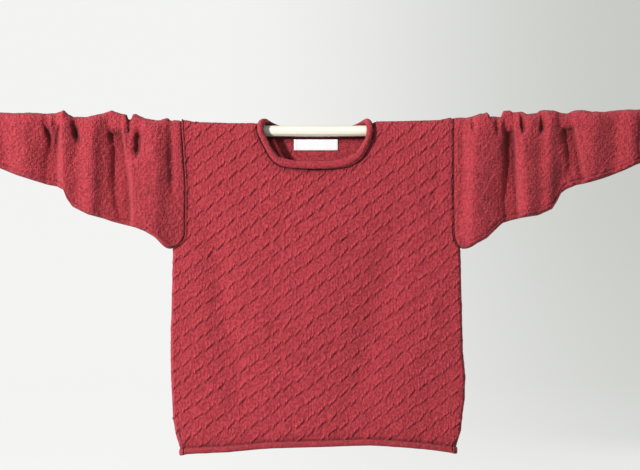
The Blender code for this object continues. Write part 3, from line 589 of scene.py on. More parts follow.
def fill_mesh(name, layers, quads, triangles=np.empty((0, 3), int)):
    """A smooth-shaded object of these faces, turned so that they agree with the outward directions.

    Points that no face uses are left out. The chart becomes the UV map, and dashes and reverse become
    attributes of the points.
    """
    used = np.unique(np.concatenate([quads.ravel(), triangles.ravel()]))
    points, outward, knit, dashes, reverse = (values[used] for values in listed(layers))
    quads, triangles = np.searchsorted(used, quads), np.searchsorted(used, triangles)
    sample = quads[:: max(1, len(quads) // TURN_SAMPLE)]
    one, two, three, four = (points[sample[:, corner]] for corner in range(4))
    if np.sum(np.cross(three - one, four - two) * outward[sample[:, 0]]) < 0:
        quads, triangles = quads[:, ::-1], triangles[:, ::-1]
    corners = np.concatenate([quads.ravel(), triangles.ravel()])
    starts = np.concatenate([np.arange(len(quads)) * 4, len(quads) * 4 + np.arange(len(triangles)) * 3])
    mesh = bpy.data.meshes.new(name)
    mesh.vertices.add(len(points))
    mesh.vertices.foreach_set("co", points.astype(np.float32).ravel())
    mesh.loops.add(len(corners))
    mesh.loops.foreach_set("vertex_index", corners.astype(np.int32))
    mesh.polygons.add(len(starts))
    mesh.polygons.foreach_set("loop_start", starts.astype(np.int32))
    mesh.update(calc_edges=True)
    mesh.shade_smooth()
    chart = np.concatenate([close_chart(knit[quads]).reshape(-1, 2), knit[triangles].reshape(-1, 2)])
    mesh.uv_layers.new(name="knit").uv.foreach_set("vector", chart.astype(np.float32).ravel())
    for label, values in (("dashes", dashes), ("reverse", reverse)):
        attribute = mesh.attributes.new(label, "FLOAT", "POINT")
        attribute.data.foreach_set("value", values.astype(np.float32).ravel())
    made = bpy.data.objects.new(name, mesh)
    bpy.context.scene.collection.objects.link(made)
    print(f"{name}: {2 * len(quads) + len(triangles)} triangles")
    return made


# %% [markdown]
# ## The rolled edge
#
# Plain knit curls up at a free edge, and here the hem and cuffs are left to curl. Seen from the end,
# the roll is most of a circle that begins at the crease where it leaves the cloth and comes round to
# touch the inside. At the sides of the hem it thickens into a small knot.

# %% The rolled edge
ROLL_STEPS = 20
ROLL_END_ANGLE = math.radians(288)
ROLL_LUMPS = 0.05           # how much thicker or thinner the roll gets, as a share of its radius
KNOT_SWELL, KNOT_HALF_LENGTH = 0.12, 0.010
ROLL_SIDE_SHARE = 0.35      # past a side seam the hem's roll reaches only this share of its width


def roll_layer(edge, outward, upward, knit, chart_sign, seed, swell=0.0):
    """The roll under an edge, from its end to just before the edge, and the middle line of its circle.

    The circle's angle runs from straight up, towards the outside, down and round to the inside. The
    chart's rows go on round it, up or down by chart_sign.
    """
    middle = edge - HEM_ROLL_RADIUS * (outward * math.sin(ROLL_LEAN) + upward * math.cos(ROLL_LEAN))
    radius = HEM_ROLL_RADIUS * (1 + swell + ROLL_LUMPS * unevenness(knit[:, 0] * 2, knit[:, 1], seed))
    turn = np.linspace(ROLL_END_ANGLE, ROLL_LEAN, ROLL_STEPS + 1)[:-1, None, None]
    spoke = upward * np.cos(turn) + outward * np.sin(turn)
    rows = middle + spoke * radius[None, :, None]
    length = (turn[:, :, 0] - ROLL_LEAN) * radius[None, :]
    chart = np.broadcast_arrays(knit[:, 0], knit[:, 1] + chart_sign * length / ROW)
    return layer(rows, np.broadcast_to(spoke, rows.shape), np.stack(chart, axis=-1), reverse=1.0), middle


print(f"the hem's roll is {2 * HEM_ROLL_RADIUS * 1000:.0f} mm thick")

# %% [markdown]
# ## Front and back
#
# A panel's grid follows its own edges: the outer columns lie on the side seams, the inner ones on the
# neck, and the rows bend with the neck and the hem. The stitch relief is added along the surface's
# normal and fades out beside a seam. Each armhole has its seam: a ridge on the left, where the
# sleeve is sewn on with its allowance turned up, and a groove on the right.

# %% The panels' grids
EDGE_COLUMNS, STRAP_COLUMNS, NECK_COLUMNS = 8, 76, 108
UNDERARM_ROWS = 8
HEM_ROWS = 184              # from the hem to the underarm
ARMHOLE_ROWS = {FRONT: (84, 24, 12), BACK: (108, 4, 8)}     # from stop to stop above the underarm


def spread(*stops):
    """Places from stop to stop. The first stop is a place; each later one is a place and its steps."""
    places, here = [np.array([stops[0]])], stops[0]
    for place, steps in stops[1:]:
        places.append(here + (place - here) * np.arange(1, steps + 1) / steps)
        here = place
    return np.concatenate(places)


def armhole_rows(face):
    """Drops of the rows from the underarm up to the shoulder line, with stops at the neck and the pole."""
    turn = np.linspace(math.pi / 2, 0, UNDERARM_ROWS + 1)
    rounding = QUARTER - UNDERARM - EDGE_ROUND * (1 - np.sin(turn))
    stops = sorted((NECK_CORNER[face], QUARTER, 0.0), reverse=True)
    above = spread(rounding[-1], *zip(stops, ARMHOLE_ROWS[face]))
    return np.concatenate([rounding, above[1:]])


def panel_grid(face):
    """Across and drop of a panel's points, the mask of its cells, and where its edges turn."""
    up_arm = armhole_rows(face)
    drops = np.concatenate([spread(QUARTER - NOMINAL_HEM, (up_arm[0], HEM_ROWS))[:-1], up_arm])
    neck_row = int(np.argmin(np.abs(drops - NECK_CORNER[face])))
    angles = np.linspace(math.pi / 2, 0, EDGE_COLUMNS + 1)
    halves, necks = [], []
    for side in (LEFT, RIGHT):
        start = half_width(QUARTER - drops, side)[:, None] - EDGE_ROUND
        neck = neck_side(face, side, drops)[:, None]
        strap = side * start + (neck - side * start) * np.linspace(0, 1, STRAP_COLUMNS + 1)[None, 1:]
        halves.append(np.hstack([side * (start + EDGE_ROUND * angles), strap]))
        necks.append(neck)
    middle = necks[0] + (necks[1] - necks[0]) * np.linspace(0, 1, NECK_COLUMNS + 1)[None, 1:-1]
    across = np.hstack([halves[0], middle, halves[1][:, ::-1]])
    drop = np.repeat(drops[:, None], across.shape[1], axis=1)
    first = EDGE_COLUMNS + STRAP_COLUMNS
    last = first + NECK_COLUMNS
    corner = NECK_CORNER[face]
    dip = neck_low(face, across[neck_row, first : last + 1]) - corner
    dip[[0, -1]] = 0
    down = np.maximum(drop[:, first : last + 1] - corner, 0)
    drop[:, first : last + 1] += dip * (1 - smooth(down / NECK_FADE))
    arch = from_table(HEM, across, "x", "level") + ROLL_HEIGHT - NOMINAL_HEM
    drop -= arch * (1 - smooth((drops[0] - drop) / HEM_FADE))
    for column, angle in enumerate(angles):
        for side, place in ((LEFT, column), (RIGHT, -1 - column)):
            start = half_width(QUARTER - drop[:, place], side) - EDGE_ROUND
            across[:, place] = side * (start + EDGE_ROUND * angle)
    keep = np.ones((len(drops) - 1, across.shape[1] - 1), bool)
    keep[neck_row:, first:last] = False
    return across, drop, keep, (neck_row, first, last)


def grid_normal(points, wraps=False):
    """Unit normal of a grid of points, from its slopes along rows and columns."""
    along = np.gradient(points, axis=0)
    if wraps:
        around = np.roll(points, -1, axis=1) - np.roll(points, 1, axis=1)
    else:
        around = np.gradient(points, axis=1)
    return unit(np.cross(along, around))


def armhole_normal(curve, face):
    """Outward direction of half an armhole's edge, from the underarm up: square to it and to the X axis."""
    along = np.gradient(curve, axis=0)
    outward = np.stack([np.zeros(len(curve)), along[:, 2] * face, -along[:, 1] * face], axis=-1)
    outward[0] = -UP
    outward[-1] = UP
    return unit(outward)


def panel_normal(base, face):
    """Outward directions of a panel; those at its edges lie in the planes of its seams."""
    normal = grid_normal(base)
    normal *= np.sign(np.sum(normal[..., 1] * face))
    arm = len(base) - len(armhole_rows(face))
    normal[-1, :, 1] = 0
    for column in (0, -1):
        normal[:arm, column, 1] = 0
        normal[arm:, column] = armhole_normal(base[arm:, column], face)
    return unit(normal)


print("rows of the armhole:", *(len(armhole_rows(face)) for face in (FRONT, BACK)))

# %% Front and back
COARSE = 4                  # the inside of a panel keeps every fourth point
FADE = 0.004                # the dashes fade out this far from a seam
SEAM_RIDGE = {LEFT: 0.0027, RIGHT: -0.0022}
SEAM_RIDGE_IN = 0.0024      # the armhole's ridge or groove lies this far in from the panel's edge
SEAM_HALF_WIDTH = 0.0022
SIDE_RIDGE = {LEFT: 0.0011, RIGHT: 0.0005}
SIDE_RIDGE_IN = 0.0105      # a side seam's allowance shows this far in from the edge
SIDE_RIDGE_HALF_WIDTH = 0.0018
SEAM_CHANGE = 0.02          # height over which the armhole's seam passes into the side seam


def walk(*corners):
    """Row and column of every point on a path of straight grid lines through these corners."""
    rows, columns = [np.array([corners[0][0]])], [np.array([corners[0][1]])]
    for (row, column), (next_row, next_column) in zip(corners, corners[1:]):
        steps = np.arange(1, max(abs(next_row - row), abs(next_column - column)) + 1)
        rows.append(row + steps * np.sign(next_row - row))
        columns.append(column + steps * np.sign(next_column - column))
    return np.concatenate(rows), np.concatenate(columns)


def panel_relief(across, drop, face, seed):
    """Chart places of a panel, where its dashes show, and the height of its knitting and seams."""
    side = np.sign(across)
    inset = np.abs(across[:, [0, -1]])
    inset = np.where(side < 0, inset[:, :1], inset[:, 1:]) - np.abs(across)
    level = QUARTER - drop
    beside_arm = smooth((level - UNDERARM) / SEAM_CHANGE + 0.5)
    charted = smooth(inset / FADE) * smooth(drop / FADE)
    seam = by_side(side, SEAM_RIDGE) * bell(inset - SEAM_RIDGE_IN, SEAM_HALF_WIDTH)
    ridge = by_side(side, SIDE_RIDGE) * bell(inset - SIDE_RIDGE_IN, SIDE_RIDGE_HALF_WIDTH)
    column, row = wander(-face * across / STITCH, level / ROW, seed)
    raised = knit_relief(column, row, charted, seed)
    raised += seam * beside_arm + ridge * (1 - beside_arm)
    return np.stack([column, row], axis=-1), charted, raised[..., None]


def panel_faces(number, inner, keep, neck, first, last):
    """Quads and triangles of a panel: its outside, its inside, the rims between them and the roll's ends.

    number and inner are the vertex numbers outside and inside; two more points close the roll's ends.
    """
    quads = np.concatenate([
        grid_quads(*number.shape, keep),
        grid_quads(*inner.shape, keep[ROLL_STEPS::COARSE, ::COARSE], start=number.size)[:, ::-1],
    ])
    top, right = number.shape[0] - ROLL_STEPS - 1, number.shape[1] - 1
    corners = (
        (0, right), (top, right), (top, last), (neck, last), (neck, first), (top, first), (top, 0), (0, 0),
    )
    rows, columns = walk(*corners)
    inner_path = walk(*[(row // COARSE, column // COARSE) for row, column in corners])
    left_end = np.concatenate([number[ROLL_STEPS::-1, 0], inner[0, :1]])
    right_end = np.concatenate([number[: ROLL_STEPS + 1, right], inner[0, -1:]])
    centre = number.size + inner.size
    triangles = np.concatenate([
        rim_fan(number[0], inner[0]),
        rim_fan(number[rows + ROLL_STEPS, columns], inner[inner_path]),
        end_fan(np.append(left_end, left_end[0]), centre),
        end_fan(np.append(right_end, right_end[0]), centre + 1),
    ])
    return quads, triangles


def make_panel(name, face, seed):
    """The front or the back, with its rolled hem, as a closed shell."""
    across, drop, keep, turns = panel_grid(face)
    base = body_surface(across, drop, face)
    normal = panel_normal(base, face)
    knit, charted, raised = panel_relief(across, drop, face, seed)
    outward = unit(normal[0] * (1, 1, 0))
    edge_x = np.abs(base[0, :, 0])
    swell = KNOT_SWELL * bell(edge_x - edge_x[[0, -1]].mean(), KNOT_HALF_LENGTH)
    narrowed = outward * (ROLL_SIDE_SHARE, 1, 1)
    roll, middle = roll_layer(base[0], narrowed, UP, knit[0], -1, seed + 1, swell)
    outer = joined(roll, layer(base + normal * raised, normal, knit, charted))
    inner = thinned(layer(base - normal * WALL, -normal, knit, reverse=1.0), COARSE)
    ends = layer(middle[[0, -1]], outward[[0, -1]], outer.knit[0, [0, -1]], reverse=1.0)
    keep = np.concatenate([np.ones((ROLL_STEPS, keep.shape[1]), bool), keep])
    number = numbers(outer.points)
    faces = panel_faces(number, numbers(inner.points, number.size), keep, *turns)
    return fill_mesh(name, (outer, inner, ends), *faces)


front = make_panel("front_knit", FRONT, 11)
back = make_panel("back_knit", BACK, 23)

# %% [markdown]
# ## Sleeves
#
# A sleeve is a tube of rings. Its first ring is the armhole itself, and over the next few centimetres
# it turns into the sleeve's own shape: hung over the pole, pushed together, and closed along a low
# edge. A crease may be as deep as the pole lets it. Under the pole front and back nearly meet.

# %% Sleeves
SLEEVE_STEPS = 204
SLEEVE_COARSE = 2
SLEEVE_SEAM_DEPTH = 0.0019  # the sleeve sinks this far at the armhole's seam
UNDERSEAM = 0.0105          # the underarm seam shows this far above the lower edge
UNDERSEAM_HALF_WIDTH = 0.0018
UNDERSEAM_DEPTH = 0.0017
SLEEVE_SEED = 31
LEVEL_SLACK = 1e-6          # a row this little below the pole's axis still counts as over the pole


def sleeve_surface(side, out, share, face):
    """Outer face of a sleeve, at a distance out from the middle.

    Share runs from 0 at the lower edge to 1 at the pole's axis, with the bottom EDGE_ROUND rounded,
    and from 1 to 2 over the pole to the crest. The thickness is that of the hanging cloth plus its
    creases, and never less than what the pole or SLIT_DEPTH needs.
    """
    x = side * out
    axis = pole_height(x)
    rows = SLEEVE_OUTLINES[side]
    crest = from_table(rows, out, "out", "crest")
    low = from_table(rows, out, "out", "low")
    start = EDGE_ROUND / -UNDERARM
    rounding = np.clip(share / start, 0, 1)
    hanging = EDGE_ROUND + (axis - low - EDGE_ROUND) * (share - start) / (1 - start)
    level = np.where(share <= 1, low + np.where(share < start, EDGE_ROUND * rounding, hanging), axis)
    turn = np.clip(share - 1, 0, 1) * math.pi / 2
    thick = SLEEVE_LOW_DEPTH + (SLEEVE_DEPTH - SLEEVE_LOW_DEPTH) * smooth(share)
    shift = 0 if face == FRONT else side * BACK_FOLD_SHIFT
    strength = 1 if face == FRONT else BACK_FOLD_SHARE
    thick = thick + strength * crease_height(SLEEVE_CREASES[side], x - shift, level)
    reach = OVER_POLE + SLEEVE_SPARE
    pole_needs = np.sqrt(np.maximum(reach**2 - (axis - level) ** 2, 0))
    least = np.maximum(pole_needs, SLIT_DEPTH)
    thick = (thick + least + np.sqrt((thick - least) ** 2 + SLEEVE_SOFTNESS**2)) / 2
    y = face * thick * np.sqrt(1 - (1 - rounding) ** 2) * np.cos(turn)
    z = level + crest * np.sin(turn)
    return np.stack(np.broadcast_arrays(x, y, z), axis=-1), level - low


def sleeve_half(side, face):
    """Points of half a sleeve, their chart places, and how far they are from its seam and its low edge."""
    drops = armhole_rows(face)
    levels = QUARTER - drops
    over = np.clip(drops / DROP_RADIUS, 0, math.pi / 2)
    share = np.where(levels > -LEVEL_SLACK, 2 - over / (math.pi / 2), 1 - np.minimum(levels, 0) / UNDERARM)
    edge = side * (half_width(levels, side) - EDGE_ROUND + EDGE_ROUND * math.pi / 2)
    seam = body_surface(edge, drops, face)
    seam[:, 1] -= face * SEAM_GAP / 2
    start = side * seam[:, 0] + SEAM_GAP
    step = np.linspace(0, 1, SLEEVE_STEPS + 1)[:, None]
    out = start + (CUFF[side] - ROLL_HEIGHT - start) * step
    free, height = sleeve_surface(side, out, share[None, :], face)
    join = smooth((out - start) / SEAM_BLEND)[..., None]
    points = seam[None] * (1 - join) + free * join
    points[..., 0] = side * out
    over_arc = np.clip(share[None, :] - 1, 0, 1) * QUARTER
    up = np.where(share[None, :] <= 1, points[..., 2] - pole_height(side * out), over_arc)
    up = np.where(face == FRONT, up, 2 * QUARTER - up)
    knit = np.stack(wander(up / STITCH, side * out / SLEEVE_ROW, SLEEVE_SEED), axis=-1)
    return points, knit, out - start, height


def sleeve_normal(base):
    """Outward directions of a sleeve; those at the armhole lie in the plane of its seam."""
    normal = grid_normal(base, wraps=True)
    normal *= np.sign(np.sum(normal * (base - base.mean(axis=1, keepdims=True))))
    half = len(armhole_rows(FRONT))
    whole_back = np.concatenate([base[0, :1], base[0, : half - 2 : -1]])
    normal[0, :half] = armhole_normal(base[0, :half], FRONT)
    normal[0, half:] = armhole_normal(whole_back, BACK)[-2:0:-1]
    return normal


def make_sleeve(name, side, seed):
    """A sleeve: a tube from the armhole seam to its rolled cuff, as a closed shell."""
    halves = [sleeve_half(side, face) for face in (FRONT, BACK)]
    base, knit, inset, height = (
        np.concatenate([one, two[:, -2:0:-1]], axis=1) for one, two in zip(*halves)
    )
    normal = sleeve_normal(base)
    charted = SLEEVE_DASHES * smooth(inset / FADE) * smooth(height / FADE)
    raised = knit_relief(knit[..., 0], knit[..., 1], charted, seed)
    raised -= SLEEVE_SEAM_DEPTH * bell(inset, SEAM_HALF_WIDTH)
    underseam = bell(height - UNDERSEAM, UNDERSEAM_HALF_WIDTH) * smooth(inset / SEAM_BLEND)
    raised -= UNDERSEAM_DEPTH * underseam
    outward = unit(normal[-1] * (0, 1, 1))
    roll, _ = roll_layer(base[-1], outward, np.array([-side, 0.0, 0.0]), knit[-1], side, seed + 1)
    cloth = layer(base + normal * raised[..., None], normal, knit, charted)
    outer = joined(cloth, Layer(*(grid[::-1] for grid in roll)))
    inner = thinned(layer(base - normal * WALL, -normal, knit, reverse=1.0), SLEEVE_COARSE)
    number = numbers(outer.points)
    inner_number = numbers(inner.points, number.size)
    quads = np.concatenate([
        grid_quads(*number.shape, wraps=True),
        grid_quads(*inner_number.shape, wraps=True, start=number.size)[:, ::-1],
    ])
    rims = [np.append(ring, ring[0]) for ring in (number[0], inner_number[0], number[-1], inner_number[-1])]
    triangles = np.concatenate([rim_fan(*rims[:2]), rim_fan(rims[2][::-1], rims[3][::-1])])
    return fill_mesh(name, (outer, inner), quads, triangles)


sleeve_left = make_sleeve("sleeve_left_knit", LEFT, 37)
sleeve_right = make_sleeve("sleeve_right_knit", RIGHT, 41)

# %% [markdown]
# ## The neckband
#
# Stitches picked up round the neck are knitted plain for a few rows and curl outwards into a smooth
# cord. It is a circle carried along the neck's line, with its rows as fine ribs round it.

# %% The neckband
BAND_STEPS, BAND_SIDES = 520, 32
BAND_STITCHES, BAND_ROWS = 132, 10
BAND_BULGE, BAND_LUMPS, BAND_SEED = 0.00025, 0.0003, 5
BAND_PROBE = 0.0004         # the cloth's slope is measured over twice this length
BAND_WIDEN = 0.5            # along the bottom the roll lies flatter and reaches further into the neck
BAND_WIDE_FROM, BAND_WIDE_OVER = 0.055, 0.020


def make_neckband(name):
    """A closed tube along the neck: the line lies on the cloth's surface, lifted to clear the pole."""
    line = smooth_loop(NECK, BAND_STEPS)
    lift = POLE_RADIUS + NECK_ROLL_CLEARANCE + NECK_ROLL_RADIUS - OVER_POLE
    across, drop, in_front = line[:, 0], np.abs(line[:, 1]), line[:, 1:] >= 0
    halves = []
    for face in (FRONT, BACK):
        run = body_surface(across + BAND_PROBE, drop, face) - body_surface(across - BAND_PROBE, drop, face)
        fall = body_surface(across, drop + BAND_PROBE, face) - body_surface(across, drop - BAND_PROBE, face)
        outward = unit(np.cross(fall, run) * -face)
        halves.append((body_surface(across, drop, face) + outward * lift, outward))
    path, outward = (np.where(in_front, *pair) for pair in zip(*halves))
    along = unit(np.roll(path, -1, axis=0) - np.roll(path, 1, axis=0))
    beside = unit(np.cross(along, outward))[:, None]
    outward = np.cross(beside[:, 0], along)[:, None]
    turn = np.linspace(0, 2 * math.pi, BAND_SIDES, endpoint=False)[None, :, None]
    inward = np.maximum(np.sum(beside * np.sin(turn) * (0, 0, 1), axis=-1, keepdims=True), 0)
    low = smooth((drop[:, None] - BAND_WIDE_FROM) / BAND_WIDE_OVER)[:, None] * in_front[:, None]
    spoke = np.cos(turn) * outward + np.sin(turn) * (1 + BAND_WIDEN * low * inward) * beside
    column = np.arange(BAND_STEPS)[:, None] * BAND_STITCHES / BAND_STEPS
    row = np.arange(BAND_SIDES)[None, :] * BAND_ROWS / BAND_SIDES
    column, row = np.broadcast_arrays(column, row)
    swell = BAND_BULGE * (np.cos(2 * math.pi * column) - 1)
    swell = swell + BAND_LUMPS * unevenness(column * 2, row * 0, BAND_SEED)
    points = path[:, None] + spoke * (NECK_ROLL_RADIUS + swell[..., None])
    quads = grid_quads(BAND_STEPS + 1, BAND_SIDES, wraps=True) % (BAND_STEPS * BAND_SIDES)
    return fill_mesh(name, (layer(points, spoke, np.stack([column, row], axis=-1)),), quads)


neckband = make_neckband("neckband_knit")

# %% [markdown]
# ## The label
#
# A plain woven tape is sewn inside the back neck. It is a thin plate that follows the inside of the
# back. Its two ends are folded under, so it is about twice as thick there.

# %% The label
LABEL_LEFT, LABEL_RIGHT = -0.045, 0.039
LABEL_TOP, LABEL_LOW = -0.0147, -0.0356
LABEL_THICKNESS = 0.0006
LABEL_GAP = 0.0010
LABEL_FOLD, LABEL_FOLD_STEP = 0.005, 0.001
LABEL_SINGLE = 0.55         # share of the thickness where the tape isn't folded
LABEL_RIM, LABEL_RIM_WIDTH = 0.6, 0.0012
LABEL_COLUMNS, LABEL_ROWS = 84, 22


def make_label(name):
    """A closed plate: its back lies just off the cloth, and its front stands out at both folded ends."""
    across = np.linspace(LABEL_LEFT, LABEL_RIGHT, LABEL_COLUMNS + 1)[None, :]
    level = np.linspace(LABEL_LOW, LABEL_TOP, LABEL_ROWS + 1)[:, None]
    across, level = np.broadcast_arrays(across, level)
    surface = body_surface(across, QUARTER - level, BACK)
    normal = grid_normal(surface)
    normal *= np.sign(np.sum(normal[..., 1]))
    from_end = np.minimum(across - LABEL_LEFT, LABEL_RIGHT - across)
    from_edge = np.minimum(from_end, np.minimum(level - LABEL_LOW, LABEL_TOP - level))
    folded = 1 - smooth((from_end - LABEL_FOLD) / LABEL_FOLD_STEP)
    rim = LABEL_RIM + (1 - LABEL_RIM) * smooth(from_edge / LABEL_RIM_WIDTH)
    thick = LABEL_THICKNESS * (LABEL_SINGLE + (1 - LABEL_SINGLE) * folded) * rim
    behind = surface - normal * (WALL + LABEL_GAP)
    shown = behind - normal * thick[..., None]
    number = numbers(shown)
    rows, columns = number.shape
    path = number[walk((0, 0), (0, columns - 1), (rows - 1, columns - 1), (rows - 1, 0), (0, 0))]
    quads = np.concatenate([
        grid_quads(rows, columns),
        grid_quads(rows, columns, start=number.size)[:, ::-1],
        np.stack([path[1:], path[:-1], path[:-1] + number.size, path[1:] + number.size], axis=-1),
    ])
    chart = np.stack([across, level], axis=-1)
    return fill_mesh(name, (layer(shown, -normal, chart), layer(behind, normal, chart)), quads)


label = make_label("label_tape")

# %% [markdown]
# ## Materials
#
# The knit's fine form is a node group that turns columns and rows into a height, a mask of painted shade in
# the cavities and a mask of the dashes, which get a painted highlight. Plain knit
# is a column of Vs: two slanting strands to each stitch. A purl stitch, and the whole reverse side, is
# a row of bumps. The group gives values only, and each material feeds them to its own shader.


# %% Node helpers
class Nodes:
    """Short names for placing and linking the nodes of one tree."""

    def __init__(self, tree):
        self.tree = tree

    def add(self, kind, **settings):
        node = self.tree.nodes.new(kind)
        for key, value in settings.items():
            setattr(node, key, value)
        return node

    def feed(self, socket, value):
        if isinstance(value, bpy.types.NodeSocket):
            self.tree.links.new(value, socket)
        else:
            socket.default_value = value

    def math(self, operation, *values):
        node = self.add("ShaderNodeMath", operation=operation)
        for socket, value in zip(node.inputs, values):
            self.feed(socket, value)
        return node.outputs[0]

    def times(self, one, two):
        return self.math("MULTIPLY", one, two)

    def line(self, value, slope, base):
        """Slope times the value, plus a base."""
        return self.math("MULTIPLY_ADD", value, slope, base)

    def rest(self, value):
        """What the value leaves of 1."""
        return self.math("SUBTRACT", 1.0, value)

    def bell(self, distance, half_width):
        """The same bell as in the mesh, as nodes."""
        near = self.math("DIVIDE", distance, half_width)
        return self.math("EXPONENT", self.times(self.times(near, near), -1.0))

    def ramp(self, value, low, high):
        """An even S from 0 at low to 1 at high."""
        node = self.add("ShaderNodeMapRange", interpolation_type="SMOOTHSTEP")
        for key, number in (("Value", value), ("From Min", low), ("From Max", high)):
            self.feed(node.inputs[key], number)
        return node.outputs["Result"]

    def noise(self, place, scale, detail=2.0):
        node = self.add("ShaderNodeTexNoise")
        self.feed(node.inputs["Vector"], place)
        self.feed(node.inputs["Scale"], scale)
        self.feed(node.inputs["Detail"], detail)
        return node.outputs[0]

    def mix(self, share, one, two):
        node = self.add("ShaderNodeMix", data_type="RGBA")
        self.feed(node.inputs["Factor"], share)
        self.feed(node.inputs["A"], one)
        self.feed(node.inputs["B"], two)
        return node.outputs["Result"]


def new_group(name, inputs, outputs):
    """A node group with named sockets, its node helper, its input node and its output node."""
    group = bpy.data.node_groups.new(name, "ShaderNodeTree")
    for sockets, way in ((inputs, "INPUT"), (outputs, "OUTPUT")):
        for label, kind in sockets:
            group.interface.new_socket(label, in_out=way, socket_type=kind)
    nodes = Nodes(group)
    return group, nodes, nodes.add("NodeGroupInput"), nodes.add("NodeGroupOutput")


# %% Stitch group
NUMBER, VECTOR = "NodeSocketFloat", "NodeSocketVector"
V_CLIMB = 0.75              # rows that a strand of a V climbs from the column's middle to its side
V_ROUND = 0.96              # how far a strand falls off towards its own two sides
V_LEAST = 0.45              # height left where a stitch slips under the next one
PURL_BEND = 0.22            # rows that a purl bump bends within its column
FINE_TAPER = 0.35           # these are as DASH_TAPER, BEAD_MEAN and so on in the mesh, but sharper
FINE_BEAD_MEAN, FINE_BEAD_SWING = 0.62, 0.38
FINE_HOLLOW_BELOW, FINE_HOLLOW_HALF_ROWS = 1.05, 0.55
DASH_HIDES = 0.8            # share of the plain knit's height that a dash takes over
# the last share is painted shade between the strands of plain knit
KNIT_HEIGHT, HOLLOW_SINKS, KNIT_CAVITY_SHADE = 0.75, 0.35, 0.45


def stitch_group():
    """Height, cavity shade and dash of the knitting at a chart place, from 0 to 1 each; the cavity shade is
    a mask of painted shade.

    Within a stitch, a is 0 in the middle of the column and 1 between two columns. A strand of a V climbs
    as a grows, so its phase is the row less a share of a. A dash is the same bell and beads as in the mesh.
    """
    group, n, given, result = new_group(
        "knit stitches",
        [("Chart", VECTOR), ("Dashes", NUMBER), ("Reverse", NUMBER)],
        [("Height", NUMBER), ("Cavity shade", NUMBER), ("Dash", NUMBER)],
    )
    split = n.add("ShaderNodeSeparateXYZ")
    n.feed(split.inputs[0], given.outputs["Chart"])
    column, row = split.outputs[0], split.outputs[1]
    once_a_column = n.math("COSINE", n.times(column, 2 * math.pi))
    a = n.math("ABSOLUTE", n.line(n.math("FRACT", column), 2.0, -1.0))
    phase = n.math("FRACT", n.math("SUBTRACT", row, n.times(a, V_CLIMB)))
    strand = n.math("SINE", n.times(phase, math.pi))
    off_middle = n.line(a, 2.0, -1.0)
    leg = n.math("SQRT", n.rest(n.times(off_middle, n.times(off_middle, V_ROUND))))
    plain = n.times(leg, n.line(strand, 1 - V_LEAST, V_LEAST))
    purl_phase = n.times(n.math("ADD", row, n.times(once_a_column, PURL_BEND)), 2 * math.pi)
    purl = n.line(n.math("COSINE", purl_phase), -0.5, 0.5)

    along = n.math("FLOORED_MODULO", column, float(DASH_COLUMNS + DASH_PLAIN))
    line = n.line(n.math("SUBTRACT", along, DASH_COLUMNS / 2), DASH_SLANT - 1, column)
    shifted = n.math("ADD", n.math("SUBTRACT", row, line), DASH_ROWS / 2)
    beside = n.math("SUBTRACT", n.math("FLOORED_MODULO", shifted, float(DASH_ROWS)), DASH_ROWS / 2)
    begins = n.ramp(along, 0.0, FINE_TAPER)
    ends = n.times(begins, n.rest(n.ramp(along, DASH_COLUMNS - FINE_TAPER, float(DASH_COLUMNS))))
    ends = n.times(ends, given.outputs["Dashes"])
    beads = n.line(once_a_column, -FINE_BEAD_SWING, FINE_BEAD_MEAN)
    dash = n.times(n.times(n.bell(beside, DASH_HALF_ROWS), ends), beads)
    below = n.math("ADD", beside, FINE_HOLLOW_BELOW)
    hollow = n.times(n.bell(below, FINE_HOLLOW_HALF_ROWS), ends)

    reverse = given.outputs["Reverse"]
    face = n.math("ADD", n.times(plain, n.rest(reverse)), n.times(purl, reverse))
    flat = n.times(face, n.line(dash, -DASH_HIDES, 1.0))
    height = n.math("ADD", n.times(flat, KNIT_HEIGHT), dash)
    n.feed(result.inputs["Height"], n.math("SUBTRACT", height, n.times(hollow, HOLLOW_SINKS)))
    # painted shade: a mask that is high in the hollow under each dash and between the strands of plain knit
    n.feed(result.inputs["Cavity shade"], n.math("MAXIMUM", hollow, n.times(n.rest(face), KNIT_CAVITY_SHADE)))
    n.feed(result.inputs["Dash"], dash)
    return group


stitches = stitch_group()
print("stitch group nodes:", len(stitches.nodes))

# %% [markdown]
# ## Fuzz and dye
#
# Yarn has loose fibres, and dye is never quite even. Both are noise: fine for the fibres, and broad for
# the dye. Wood and tape use the same group with their own scales.

# %% Fuzz and dye group
FINE_DETAIL, BROAD_DETAIL = 3.0, 2.0


def fuzz_group():
    """Fine and broad noise at a place, each about 0.5 in the mean."""
    group, n, given, result = new_group(
        "fuzz and dye",
        [("Place", VECTOR), ("Fine scale", NUMBER), ("Broad scale", NUMBER)],
        [("Fine", NUMBER), ("Broad", NUMBER)],
    )
    place = given.outputs["Place"]
    n.feed(result.inputs["Fine"], n.noise(place, given.outputs["Fine scale"], FINE_DETAIL))
    n.feed(result.inputs["Broad"], n.noise(place, given.outputs["Broad scale"], BROAD_DETAIL))
    return group


fuzz = fuzz_group()
print("fuzz group nodes:", len(fuzz.nodes))


# %% Material helpers
def new_material(name, roughness):
    """A material, its node helper and its Principled shader."""
    material = bpy.data.materials.new(name)
    material.use_nodes = True
    shader = material.node_tree.nodes["Principled BSDF"]
    shader.inputs["Roughness"].default_value = roughness
    return material, Nodes(material.node_tree), shader


def add_fuzz(n, fine_scale, broad_scale, place=None):
    """Places the fuzz group on Object coordinates, or on a given place, and returns its node."""
    node = n.add("ShaderNodeGroup", node_tree=fuzz)
    n.feed(node.inputs["Place"], place or n.add("ShaderNodeTexCoord").outputs["Object"])
    n.feed(node.inputs["Fine scale"], fine_scale)
    n.feed(node.inputs["Broad scale"], broad_scale)
    return node


def add_bump(n, shader, height, distance):
    """Feeds a height, in units of distance, through a Bump node to the shader's normal."""
    bump = n.add("ShaderNodeBump")
    bump.inputs["Strength"].default_value = 1.0
    bump.inputs["Distance"].default_value = distance
    n.feed(bump.inputs["Height"], height)
    n.feed(shader.inputs["Normal"], bump.outputs["Normal"])
